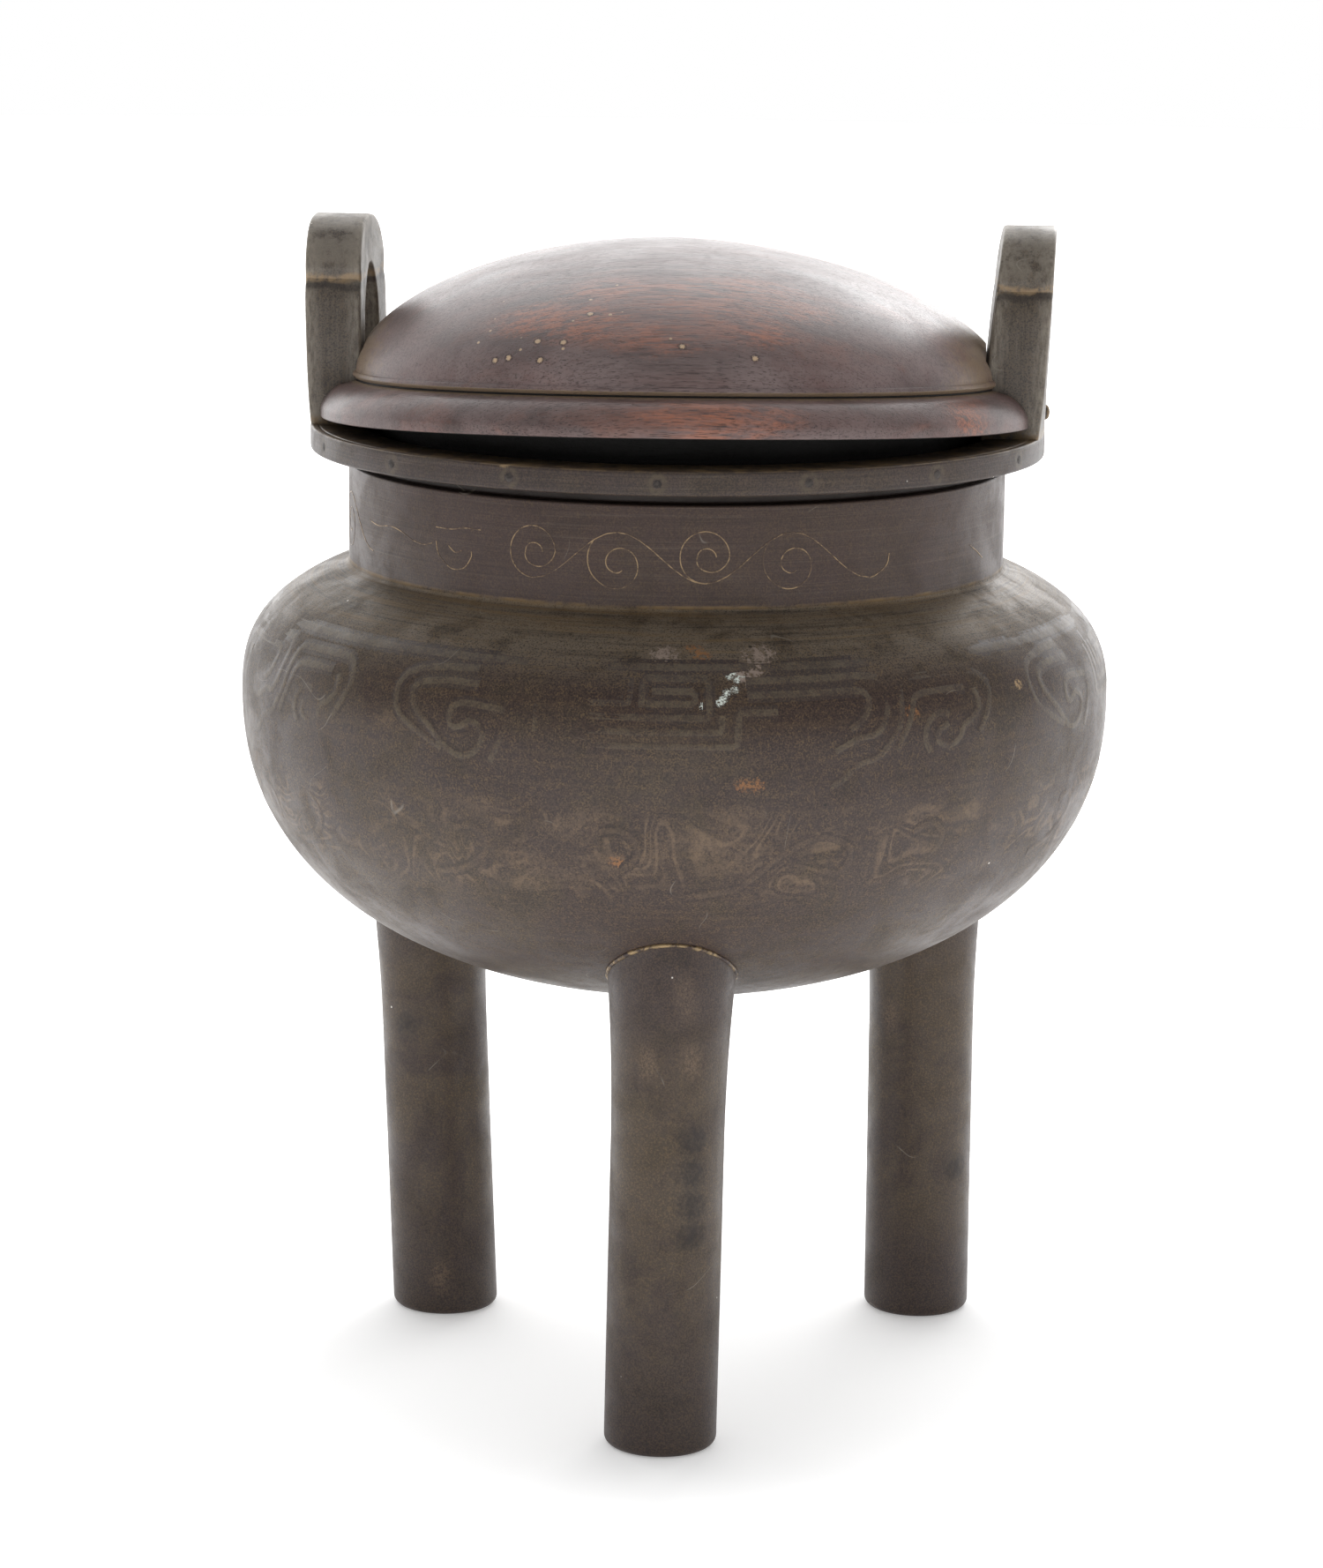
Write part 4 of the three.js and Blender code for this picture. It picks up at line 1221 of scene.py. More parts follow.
def floor_finish(stage):
    finish = Finish("censer_floor_paper", stage.floor_colour)
    finish.shader.inputs["Emission Color"].default_value = WHITE
    # The floor glows less within a radius of the piece than away from it: a painted shadow round the feet
    under = finish.spots([(0.0, 0.0, 0.0)], radius=40, fade=120, ragged=0.0)
    glow = finish.step(under, 0.0, 1.0, stage.far_glow, stage.floor_glow)
    finish.feed(finish.shader.inputs["Emission Strength"], glow)
    weave = finish.noise(40, detail=2.0)
    finish.coat(WEAVE_COLOUR, finish.step(weave, 0.3, 0.7, 0.0, 0.04))
    finish.bump(weave, 0.02)
    return finish.done(0.9)


# Bowl


def shoulder_height(bowl):
    """Floor to the neck's foot."""
    rise = curve_height(bowl.neck_radius, bowl.belly_radius, bowl.shoulder_rise, bowl.shoulder_fullness)
    return bowl.belly_height + rise


def rim_bottom(bowl):
    return shoulder_height(bowl) + bowl.neck_height + bowl.groove_height


def rim_top(bowl, rim):
    return rim_bottom(bowl) + rim.thickness


def rim_radius(bowl, rim):
    return bowl.neck_radius + rim.overhang


def underside_height(bowl, across):
    drop = curve_height(across, bowl.belly_radius, bowl.underside_drop, bowl.underside_fullness)
    return bowl.belly_height - drop


# Steps along each curve of the bowl's outline
UNDERSIDE_STEPS = 56
SHOULDER_STEPS = 40
NECK_COVE_STEPS = 8
INSIDE_SHOULDER_STEPS = 20
INSIDE_UNDERSIDE_STEPS = 32


def bowl_outline(bowl):
    top = shoulder_height(bowl)
    neck_top = top + bowl.neck_height
    underside = quarter(bowl.belly_radius, bowl.underside_drop, bowl.underside_fullness, UNDERSIDE_STEPS)
    shoulder_end = bowl.neck_radius + bowl.neck_fillet
    curve = (bowl.belly_radius, bowl.shoulder_rise, bowl.shoulder_fullness)
    shoulder = quarter_to(shoulder_end, *curve, SHOULDER_STEPS)
    mouth = bowl.neck_radius - bowl.neck_wall
    inside = bowl.belly_radius - bowl.wall
    curve = (inside, bowl.shoulder_rise - bowl.wall, bowl.shoulder_fullness)
    inside_shoulder = quarter_to(mouth, *curve, INSIDE_SHOULDER_STEPS)
    curve = (inside, bowl.underside_drop - bowl.wall, bowl.underside_fullness)
    inside_underside = quarter(*curve, INSIDE_UNDERSIDE_STEPS)
    collar = bowl.neck_radius - bowl.groove_depth
    collar_top = rim_bottom(bowl) - bowl.seat
    foot = raised(shoulder, bowl.belly_height)[-1]
    neck = [
        (bowl.neck_radius, top + bowl.neck_fillet),
        (bowl.neck_radius, neck_top),
        (collar, neck_top),
        (collar, collar_top),
        (mouth, collar_top),
        raised(inside_shoulder, bowl.belly_height)[-1],
    ]
    return [
        *reversed(lowered(underside, bowl.belly_height)),
        *raised(shoulder, bowl.belly_height)[1:-1],
        *cove(foot, (bowl.neck_radius, top), neck[0], NECK_COVE_STEPS)[:-1],
        *eased(neck, bowl.neck_edge),
        *reversed(raised(inside_shoulder, bowl.belly_height)[:-1]),
        *lowered(inside_underside, bowl.belly_height)[1:],
    ]


class MakeBowl(bpy.types.Operator):
    """Makes the cast bowl with its sleeve neck"""

    bl_idname = "censer.make_bowl"
    bl_label = "Bowl"

    def execute(self, context):
        scene = context.scene
        bowl = scene.censer_bowl
        piece = mesh_piece("censer_bowl", *turned_mesh(bowl_outline(bowl), RING_SEGMENTS))
        set_piece(piece, VESSEL, bowl_finish(scene.censer_metal, bowl), "bronze", "bowl")
        return {"FINISHED"}


# Rim band and pins


class MakeRim(bpy.types.Operator):
    """Makes the rim band with its bevelled mouth and incised line"""

    bl_idname = "censer.make_rim"
    bl_label = "Rim Band"

    def execute(self, context):
        scene = context.scene
        bowl, rim = scene.censer_bowl, scene.censer_rim
        bottom, top = rim_bottom(bowl), rim_top(bowl, rim)
        outer = rim_radius(bowl, rim)
        bore = bowl.neck_radius - bowl.neck_wall + rim.step
        line = outer - rim.line_inset
        outline = [
            (bore, bottom),
            (outer, bottom),
            (outer, top),
            (line + rim.line_depth, top),
            (line, top - rim.line_depth),
            (line - rim.line_depth, top),
            (bore + rim.mouth_bevel, top),
            (bore, top - rim.mouth_bevel),
        ]
        points, faces = turned_mesh(eased(outline, rim.edge, closed=True), RING_SEGMENTS, closed=True)
        piece = mesh_piece("censer_rim_band", points, faces)
        set_piece(piece, VESSEL, rim_finish(scene.censer_metal, bowl, rim), "bronze", "rim_band")
        return {"FINISHED"}


PIN_DEPTH = 2.2 * MM
PIN_PROUD = 0.06 * MM
PIN_CROWN_STEPS = 3
PIN_SEGMENTS = 12


class MakeRimPins(bpy.types.Operator):
    """Makes the round plugs in the rim band's edge"""

    bl_idname = "censer.make_rim_pins"
    bl_label = "Rim Pins"

    def execute(self, context):
        scene = context.scene
        bowl, rim = scene.censer_bowl, scene.censer_rim
        outline = [
            (0.0, -PIN_DEPTH),
            (rim.pin_radius, -PIN_DEPTH),
            (rim.pin_radius, 0.0),
            *quarter(rim.pin_radius, PIN_PROUD, ELLIPSE, PIN_CROWN_STEPS)[1:],
        ]
        points, faces = turned_mesh(outline, PIN_SEGMENTS)
        middle = rim_bottom(bowl) + rim.thickness / 2
        piece = mesh_piece("censer_rim_pins", lying(points, rim_radius(bowl, rim), middle), faces)
        finish = pin_finish(scene.censer_metal)
        ring_tree().work(piece, count=rim.pin_count, first_turn=FRONT + rim.pin_turn, material=finish)
        nodes = [f"rim_pin_{i + 1:02d}" for i in range(rim.pin_count)]
        set_piece(piece, VESSEL, finish, "pins", *nodes)
        return {"FINISHED"}


# Ears and their rivets

# Outlines from the foot's middle to the crown's middle, as shares of the half width and of the height
CREASE_SHARE = 0.712
EAR_FOOT_SHARES = [(0, 0), (0.55, 0), (1, 0)]
EAR_SIDE_SHARES = [(1, 0), (1, 0.2), (1, 0.42), (0.985, 0.58), (0.95, 0.66), (0.87, CREASE_SHARE)]
EAR_CROWN_SHARES = [(0.87, CREASE_SHARE), (0.9, 0.77), (0.83, 0.85), (0.63, 0.935), (0.34, 0.985), (0, 1)]
EAR_OPENING_SHARES = [
    (0, 0), (0.6, 0), (0.96, 0.04), (1, 0.2), (1, 0.4), (0.98, 0.53), (0.92, 0.64), (0.82, 0.735),
    (0.68, 0.82), (0.53, 0.89), (0.37, 0.945), (0.19, 0.985), (0, 1),
]
EAR_STEPS = 7
# How far along a side of a cut the point by its corner lies, and how far up an ear the foot's bend goes
CORNER_SHARE = 0.32
FOOT_BEND_SHARE = 0.6

RIVET_ROOT = 3 * MM
RIVET_CROWN_STEPS = 8
RIVET_SEGMENTS = 32


def ear_places(scene):
    """Turn of each ear, then radius and lean of its inner face and of its outer face."""
    bowl, rim, ears = scene.censer_bowl, scene.censer_rim, scene.censer_ears
    edge = rim_radius(bowl, rim)
    right = edge - ears.right_inset
    left = edge - ears.left_inset
    right_faces = (right - ears.right_thickness, ears.right_lean), (right, ears.right_outer_lean)
    left_faces = (left - ears.left_thickness, ears.left_lean), (left, ears.left_lean)
    return {
        "right_ear": (ears.right_turn, *right_faces),
        "left_ear": (math.pi + ears.left_turn, *left_faces),
    }


def ear_loop(shares, half_width, bottom, top):
    """Both halves of an outline, once round."""
    half = [Vector((across * half_width, bottom + up * (top - bottom))) for across, up in shares]
    return half + [Vector((-point.x, point.y)) for point in reversed(half[1:-1])]


def ear_section(limb, thickness, edge):
    """One cut through the loop: distance out from the opening, place in the thickness and edge wear."""
    corners = [Vector(corner) for corner in ((0.0, 0.0), (0.0, thickness), (limb, thickness), (limb, 0.0))]
    section = []
    for i, corner in enumerate(corners):
        before, after = corners[i - 1], corners[(i + 1) % 4]
        start = corner + (before - corner).normalized() * edge
        end = corner + (after - corner).normalized() * edge
        section.append((*corner.lerp(before, CORNER_SHARE), 0.0))
        section += [(*point, 1.0) for point in cove(start, corner, end, ARC_STEPS)]
        section.append((*corner.lerp(after, CORNER_SHARE), 0.0))
    return section


def ear_face(face, bend_radius, y, z):
    """How far out a bent, leaning face of an ear stands at a place across it and a height."""
    radius, lean = face
    return radius - y**2 / (2 * bend_radius) + z * math.tan(lean)


def ear_mesh(ears, inner, outer):
    """Points, faces and edge wear of one ear that stands on Z = 0 with its outer face towards +X.

    The outer face follows the rim's edge at its foot and flattens towards the crown.
    """
    outer_shares = smooth_line(EAR_FOOT_SHARES, EAR_STEPS)[:-1]
    outer_shares += smooth_line(EAR_SIDE_SHARES, EAR_STEPS)[:-1] + smooth_line(EAR_CROWN_SHARES, EAR_STEPS)
    inner_shares = smooth_line(EAR_OPENING_SHARES, EAR_STEPS)
    outside = ear_loop(outer_shares, ears.width / 2, -ears.sink, ears.height)
    inside = ear_loop(inner_shares, ears.opening_width / 2, ears.sill, ears.opening_top)
    points, wear = [], []
    thickness = outer[0] - inner[0]
    for far, near in zip(outside, inside):
        limb = (far - near).length
        for away, through, worn in ear_section(limb, thickness, ears.edge):
            y, z = near.lerp(far, away / limb)
            foot = max(0.0, 1 - z / (FOOT_BEND_SHARE * ears.height))
            bend_radius = ears.bend_radius + (outer[0] - ears.bend_radius) * foot
            back = ear_face(inner, ears.bend_radius, y, z)
            front = ear_face(outer, bend_radius, y, z)
            points.append((back + (front - back) * through / thickness, y, z))
            wear.append(worn)
    stations = len(outside)
    return points, ring_faces(0, stations, len(points) // stations, closed=True), wear


def turn_about_axis(points, turn, height):
    """Points turned about the Z axis and lifted."""
    place = Matrix.Translation((0, 0, height)) @ Matrix.Rotation(turn, 4, "Z")
    return [place @ Vector(point) for point in points]


class MakeEars(bpy.types.Operator):
    """Makes the two loop ears on the rim"""

    bl_idname = "censer.make_ears"
    bl_label = "Ears"

    def execute(self, context):
        scene = context.scene
        ears = scene.censer_ears
        level = rim_top(scene.censer_bowl, scene.censer_rim)
        finish = ear_finish(scene.censer_metal, ears, level)
        for name, (turn, inner, outer) in ear_places(scene).items():
            points, faces, wear = ear_mesh(ears, inner, outer)
            piece = mesh_piece("censer_" + name, turn_about_axis(points, turn, level), faces)
            mark_points(piece, "edge", wear)
            set_piece(piece, VESSEL, finish, "bronze", name)
        return {"FINISHED"}


class MakeRivets(bpy.types.Operator):
    """Makes the rivet low on the outside of each ear"""

    bl_idname = "censer.make_rivets"
    bl_label = "Ear Rivets"

    def execute(self, context):
        scene = context.scene
        ears = scene.censer_ears
        finish = rivet_finish(scene.censer_metal)
        level = rim_top(scene.censer_bowl, scene.censer_rim)
        crown = quarter(ears.rivet_radius, ears.rivet_head, ELLIPSE, RIVET_CROWN_STEPS)
        outline = [(0.0, -RIVET_ROOT), (ears.rivet_radius, -RIVET_ROOT), *crown]
        points, faces = turned_mesh(outline, RIVET_SEGMENTS)
        for name, (turn, _, outer) in ear_places(scene).items():
            out = ear_face(outer, ears.bend_radius, 0.0, ears.rivet_height)
            placed = turn_about_axis(lying(points, out, ears.rivet_height), turn, level)
            piece = mesh_piece(f"censer_{name}_rivet", placed, faces)
            set_piece(piece, VESSEL, finish, "pins", f"{name}_rivet")
        return {"FINISHED"}


# Legs and seams

# How far a leg's top reaches into the bowl's wall, and steps up its foot and its height
LEG_BITE = 0.8 * MM
FOOT_STEPS = 8
LEG_STEPS = 48
# Braze bead: how far its middle lies under the bowl's skin, how uneven it is and the size of its lumps
SEAM_SUNK = 0.2 * MM
SEAM_UNEVENNESS = 1.2
SEAM_LUMP = 3 * MM


def leg_places(legs):
    """Angle, step out, foot in and foot along of each leg."""
    return {
        "front_leg": (legs.front_angle, 0.0, 0.0, legs.front_foot_along),
        "rear_left_leg": (legs.left_angle, legs.left_step_out, legs.left_foot_in, legs.left_foot_along),
        "rear_right_leg": (legs.right_angle, legs.right_step_out, legs.right_foot_in, 0.0),
    }


def leg_middle(bowl, legs, turn, step_out):
    across = bowl.belly_radius - legs.inset + step_out
    return across * math.cos(turn), across * math.sin(turn)


def leg_joint(bowl, legs):
    """Floor to the bowl's underside over the circle of the legs' middles."""
    return underside_height(bowl, bowl.belly_radius - legs.inset)


def leg_mesh(bowl, legs, turn, step_out, foot_in, foot_along):
    """A leg that follows the bowl's underside at its top and ends inside the wall."""
    middle_x, middle_y = leg_middle(bowl, legs, turn, step_out)
    joint = leg_joint(bowl, legs)
    full = legs.radius + legs.flare
    points = []
    for i in range(FOOT_STEPS + 1):
        round_foot = math.pi / 2 * i / FOOT_STEPS
        radius = legs.radius - legs.foot_round * (1 - math.sin(round_foot))
        points += circle(radius, legs.foot_round * (1 - math.cos(round_foot)), LEG_SEGMENTS)
    for i in range(1, LEG_STEPS + 1):
        for x, y, _ in circle(1.0, 0.0, LEG_SEGMENTS):
            reach = math.hypot(middle_x + full * x, middle_y + full * y)
            top = underside_height(bowl, reach) + LEG_BITE
            height = legs.foot_round + (top - legs.foot_round) * (i / LEG_STEPS)
            up = max(0.0, (height - legs.flare_height) / (joint - legs.flare_height))
            radius = legs.radius + legs.flare * min(1.0, up) ** 2
            points.append((radius * x, radius * y, height))
    rings = len(points) // LEG_SEGMENTS
    faces = ring_faces(0, rings, LEG_SEGMENTS)
    # The flat of the foot, and the top inside the wall
    for height, first in ((0.0, 0), (joint + LEG_BITE, (rings - 1) * LEG_SEGMENTS)):
        for k in range(LEG_SEGMENTS):
            faces.append((len(points), first + k, first + (k + 1) % LEG_SEGMENTS))
        points.append((0.0, 0.0, height))
    shift_x = -foot_in * math.cos(turn) - foot_along * math.sin(turn)
    shift_y = -foot_in * math.sin(turn) + foot_along * math.cos(turn)
    placed = []
    for x, y, z in points:
        part = 1 - z / joint
        placed.append((x + middle_x + shift_x * part, y + middle_y + shift_y * part, z))
    return placed, faces


class MakeLegs(bpy.types.Operator):
    """Makes the three round legs"""

    bl_idname = "censer.make_legs"
    bl_label = "Legs"

    def execute(self, context):
        scene = context.scene
        bowl, legs = scene.censer_bowl, scene.censer_legs
        finish = leg_finish(scene.censer_metal, leg_joint(bowl, legs))
        for name, place in leg_places(legs).items():
            piece = mesh_piece("censer_" + name, *leg_mesh(bowl, legs, *place))
            set_piece(piece, VESSEL, finish, "bronze", name)
        return {"FINISHED"}


class MakeSeams(bpy.types.Operator):
    """Makes the bright braze bead between each leg and the bowl"""

    bl_idname = "censer.make_seams"
    bl_label = "Leg Seams"

    def execute(self, context):
        scene = context.scene
        bowl, legs = scene.censer_bowl, scene.censer_legs
        finish = braze_finish(scene.censer_metal)
        bead = {"radius": legs.seam_radius, "unevenness": SEAM_UNEVENNESS, "lump_size": SEAM_LUMP}
        tree = bead_tree()
        for name, (turn, step_out, _, _) in leg_places(legs).items():
            middle_x, middle_y = leg_middle(bowl, legs, turn, step_out)
            points = []
            for x, y, _ in circle(legs.radius + legs.flare, 0.0, LEG_SEGMENTS):
                spot = x + middle_x, y + middle_y
                points.append((*spot, underside_height(bowl, math.hypot(*spot)) - SEAM_SUNK))
            loop = bpy.data.meshes.new("seam")
            loop.from_pydata(points, [(k, (k + 1) % LEG_SEGMENTS) for k in range(LEG_SEGMENTS)], [])
            piece = added(f"censer_{name}_seam", loop)
            tree.work(piece, material=finish, **bead)
            tidy_mesh(piece.data)
            set_piece(piece, VESSEL, finish, "braze", f"{name}_seam")
        return {"FINISHED"}


# Wire scroll on the neck

COIL_STEPS = 8
ENDS_STEPS = 6
WIRE_STEP = 0.45 * MM
WIRE_SUNK = 0.25 * MM
SCROLL_WEAR = {"wear_size": 16 * MM, "wear_from": 0.62, "wear_to": 0.72, "wear_depth": 0.12 * MM}
ENDS_WEAR = {**SCROLL_WEAR, "wear_from": 0.8, "wear_to": 0.9}

# Millimetres from a spiral's middle, a quarter turn apart from its outer end in, and the turn of that end
OVER_COIL = [4.6, 4.4, 4.5, 4.2, 2.4, 1.4, 1.5, 1.9]
OVER_START = math.radians(-90)
UNDER_COIL = [5.9, 4.4, 3.9, 3.4, 2.35, 1.5, 1.3]
UNDER_START = math.radians(135)
STEM_BELOW = 4.6 * MM
STEM_ABOVE = 5.7 * MM

# Ends of wire left of a worn scroll: degrees to the right of the front and millimetres above the floor
WORN_ENDS = [
    [(-66, 162), (-62, 161.5), (-57.5, 162), (-54, 161.5), (-51, 160.5), (-48, 160), (-45.5, 160.5)],
    [(-44.5, 163.5), (-41, 163.5), (-38, 164), (-34.5, 164)],
    [(-44.5, 161), (-44, 159), (-42.5, 157.5), (-40.5, 156.5), (-38, 157), (-36.5, 159), (-36.5, 160)],
    [(-41.5, 160.5), (-40, 159.5), (-38.5, 160)],
    [(34, 156.5), (35.5, 157), (37.5, 158.5), (38, 160.5)],
    [(60, 159.5), (63, 158), (65.5, 156.5)],
]


def coil(middle, start, way, distances):
    """A line that winds about a middle, anticlockwise where the way is 1 and clockwise where it is -1."""
    points = []
    for i in range((len(distances) - 1) * COIL_STEPS + 1):
        k = min(i // COIL_STEPS, len(distances) - 2)
        t = i / COIL_STEPS - k
        radius = (distances[k] + (distances[k + 1] - distances[k]) * t) * MM
        around = start + way * math.pi / 2 * i / COIL_STEPS
        points.append((middle[0] + radius * math.cos(around), middle[1] + radius * math.sin(around)))
    return points


class MakeNeckScroll(bpy.types.Operator):
    """Makes the running spiral scroll of thin wire let into the neck"""

    bl_idname = "censer.make_neck_scroll"
    bl_label = "Neck Scroll"

    def execute(self, context):
        scene = context.scene
        bowl, inlay = scene.censer_bowl, scene.censer_inlay
        stride = inlay.scroll_step * bowl.neck_radius
        high = inlay.scroll_height
        low = high - inlay.scroll_drop
        over = coil((0.0, high), OVER_START, -1, OVER_COIL)
        under = coil((stride / 2, low), UNDER_START, 1, UNDER_COIL)
        bottom = high - STEM_BELOW
        top = low + STEM_ABOVE
        stem = []
        for i in range(2 * COIL_STEPS + 1):
            t = i / (2 * COIL_STEPS)
            stem.append((stride * t, (bottom + top) / 2 - (top - bottom) / 2 * math.cos(2 * math.pi * t)))
        pair = [over, under, stem]
        ends = []
        for line in WORN_ENDS:
            placed = [(math.radians(turn) * bowl.neck_radius, height * MM) for turn, height in line]
            ends.append(smooth_line(placed, ENDS_STEPS))
        runs = {
            "front": (pair, inlay.front_pairs, inlay.front_start, SCROLL_WEAR),
            "back": (pair, inlay.back_pairs, inlay.back_start, SCROLL_WEAR),
            "ends": (ends, 1, 0.0, ENDS_WEAR),
        }
        finish = wire_finish(scene.censer_metal)
        section = strip_section(inlay.wire_width, 0.0, inlay.wire_proud, WIRE_SUNK)
        wrapping = {"step": inlay.scroll_step, "material": finish, **neck_surface(bowl)}
        tree = wrap_tree()
        for name, (lines, count, start, wear) in runs.items():
            strips = [evenly(line, WIRE_STEP) for line in lines]
            piece = flat_strips("censer_neck_scroll_" + name, strips, section)
            tree.work(piece, count=count, start=start, **wrapping, **wear)
            tidy_mesh(piece.data)
            set_piece(piece, VESSEL, finish, "braze")
        return {"FINISHED"}


# Fret on the belly, drawn in lines and rows of its own pitch from the panel's middle and its top row

FRET_SQUARES = [
    [(-12, 1), (-12, 5), (2.6, 5), (2.6, 3.5)],
    [(-11, 0), (-11, 4), (1.5, 4), (1.5, 2.7)],
    [(-10, 1), (-10, 3), (0.6, 3), (0.6, 0.1)],
    [(-9, 2), (-5.2, 2), (-5.2, 0)],
    [(-9, 1), (-5.9, 1), (-5.9, 1.6)],
    [(-4.3, 2.3), (-4.3, 0), (0.6, 0)],
    [(-3.6, 1), (-0.4, 1), (-0.4, 2), (-4, 2)],
    [(2.7, 4.7), (2.7, 2.6), (5.6, 2.6)],
]
FRET_SCROLLS = [
    [(3.4, 0.2), (8, 0.2), (13.1, 0.2), (14.2, 1), (14.1, 2.9), (13.2, 4.4), (11.6, 4.8), (9.8, 5.6)],
    [(3.4, 1.3), (8, 1.3), (11.9, 1.3), (12.7, 2), (12.2, 3.2), (11, 4.1)],
    [
        (23.5, 1.3), (22.5, 0.6), (19, 0.5), (16.2, 0.6), (15.6, 1), (15.3, 2.9), (15, 4.1), (14.1, 5.3),
        (13.2, 6.2), (11.6, 6.7), (10.4, 7.7), (9.5, 8.2),
    ],
    [(21.3, 1.8), (19, 1.8), (16.8, 2), (16.3, 2.7), (15.9, 3.8), (14.7, 5.9)],
    [(23.5, 1.3), (23.8, 2.3), (23.2, 3.8), (22.2, 5.3)],
    [
        (22.2, 2), (22.4, 3.2), (21.6, 4.1), (20.7, 4.5), (20.4, 5.3), (19.5, 5.9), (18.4, 5.6), (18.3, 4.8),
        (19.3, 4.3),
    ],
    [(19.4, 3.7), (18.6, 3.4), (17.5, 4), (17.1, 5.2), (17.6, 6.2)],
    [(-17.2, 0), (-20.5, 0.2), (-23, 0.8), (-23.8, 2.3), (-23.2, 4), (-21.1, 5.3), (-19.3, 6.1)],
    [
        (-16.8, 1.2), (-20, 1.2), (-22.2, 1.8), (-22, 3.2), (-20.4, 4.7), (-19.2, 5.9), (-17.8, 6.5),
        (-16.5, 6), (-16, 4.8), (-17, 3.9), (-17.9, 4.4), (-18.6, 4.4), (-18.8, 3.4), (-17.8, 2.7),
        (-14.4, 3),
    ],
    [(-14.1, 3.8), (-14.7, 5.3), (-15.4, 6.8)],
    [(-12, 16.4), (-7.5, 15.5), (-4.5, 13.2), (-5.5, 11.4), (-7.4, 11.6), (-7.2, 13)],
    [(-1, 16.8), (3, 16), (6, 13.4), (9, 12), (11.5, 13), (11, 15), (9.2, 14.6)],
    [(14, 16.2), (17, 15.4), (19.5, 13.2), (18.4, 11.6), (16.6, 12.2)],
    [(-21, 16), (-18, 15.2), (-16, 13.3), (-16.8, 11.7), (-18.6, 12)],
]
FRET_BORDER_ROW = -0.9
FRET_SCROLL_STEPS = 8
FRET_LINE_STEP = 1 * MM
FRET_BORDER_STEP = 2 * MM
FRET_SUNK = 0.3 * MM
FRET_WEAR = {"wear_size": 22 * MM, "wear_from": 0.5, "wear_to": 0.72, "wear_depth": 0.1 * MM}
# One step down the belly, and the least that its curve may come in to, which keeps the slope finite
DOWN_STEP = 0.2 * MM
LEAST_OUT = 0.02


def down_the_belly(bowl, height, distance):
    """The height reached by going a distance down the bowl's outside."""
    travelled = 0.0
    while travelled < abs(distance):
        span, full = belly_curve(bowl, height)
        part = abs(height - bowl.belly_height) / span
        out = max(LEAST_OUT, 1 - part**full) ** (1 / full)
        steep = part ** (full - 1) / span * bowl.belly_radius / out ** (full - 1)
        height -= math.copysign(DOWN_STEP, distance)
        travelled += DOWN_STEP * math.hypot(1, steep)
    return height


class MakeBellyFret(bpy.types.Operator):
    """Makes the low, worn fret and scrolls round the belly"""

    bl_idname = "censer.make_belly_fret"
    bl_label = "Belly Fret"

    def execute(self, context):
        scene = context.scene
        bowl, inlay = scene.censer_bowl, scene.censer_inlay
        pitch, top = inlay.fret_pitch, inlay.fret_top
        panel = 2 * math.pi / inlay.fret_panels

        def placed(line):
            return [(across * pitch, down_the_belly(bowl, top, row * pitch)) for across, row in line]

        squares = [eased(placed(line), pitch / 4) for line in FRET_SQUARES]
        scrolls = [smooth_line(placed(line), FRET_SCROLL_STEPS) for line in FRET_SCROLLS]
        lines = [evenly(line, FRET_LINE_STEP) for line in squares + scrolls]
        half = panel * bowl.belly_radius / 2
        height = down_the_belly(bowl, top, FRET_BORDER_ROW * pitch)
        border = evenly([(-half, height), (half, height)], FRET_BORDER_STEP)
        section = strip_section(inlay.fret_width, inlay.fret_border, inlay.fret_proud, FRET_SUNK)
        piece = flat_strips("censer_belly_fret", [*lines, border], section)
        finish = fret_finish(scene.censer_metal, bowl.belly_height)
        wrapping = {"count": inlay.fret_panels, "step": panel, "start": inlay.fret_start}
        wrap_tree().work(piece, material=finish, **wrapping, **belly_surface(bowl), **FRET_WEAR)
        tidy_mesh(piece.data)
        set_piece(piece, VESSEL, finish, "bronze")
        return {"FINISHED"}


# Lid, drawn with the foot of its edge at Z = 0

# Steps along each curve of the lid's outline, and the rounding of its small edges
OVOLO_STEPS = 14
DOME_STEPS = 72
HOLLOW_STEPS = 32
LID_EASE = 0.45 * MM
# The block that cuts a notch: how far it reaches out, below the rim's top and above it
NOTCH_REACH = 30 * MM
NOTCH_BELOW = 10 * MM
NOTCH_ABOVE = 50 * MM
# Dust beside a notch: how thick it lies, and how far it spreads
NOTCH_DUST = 0.9
NOTCH_DUST_REACH = 11 * MM


def bead_top(lid):
    return lid.edge_height + lid.ovolo_height + 2 * lid.bead_radius + lid.groove_height


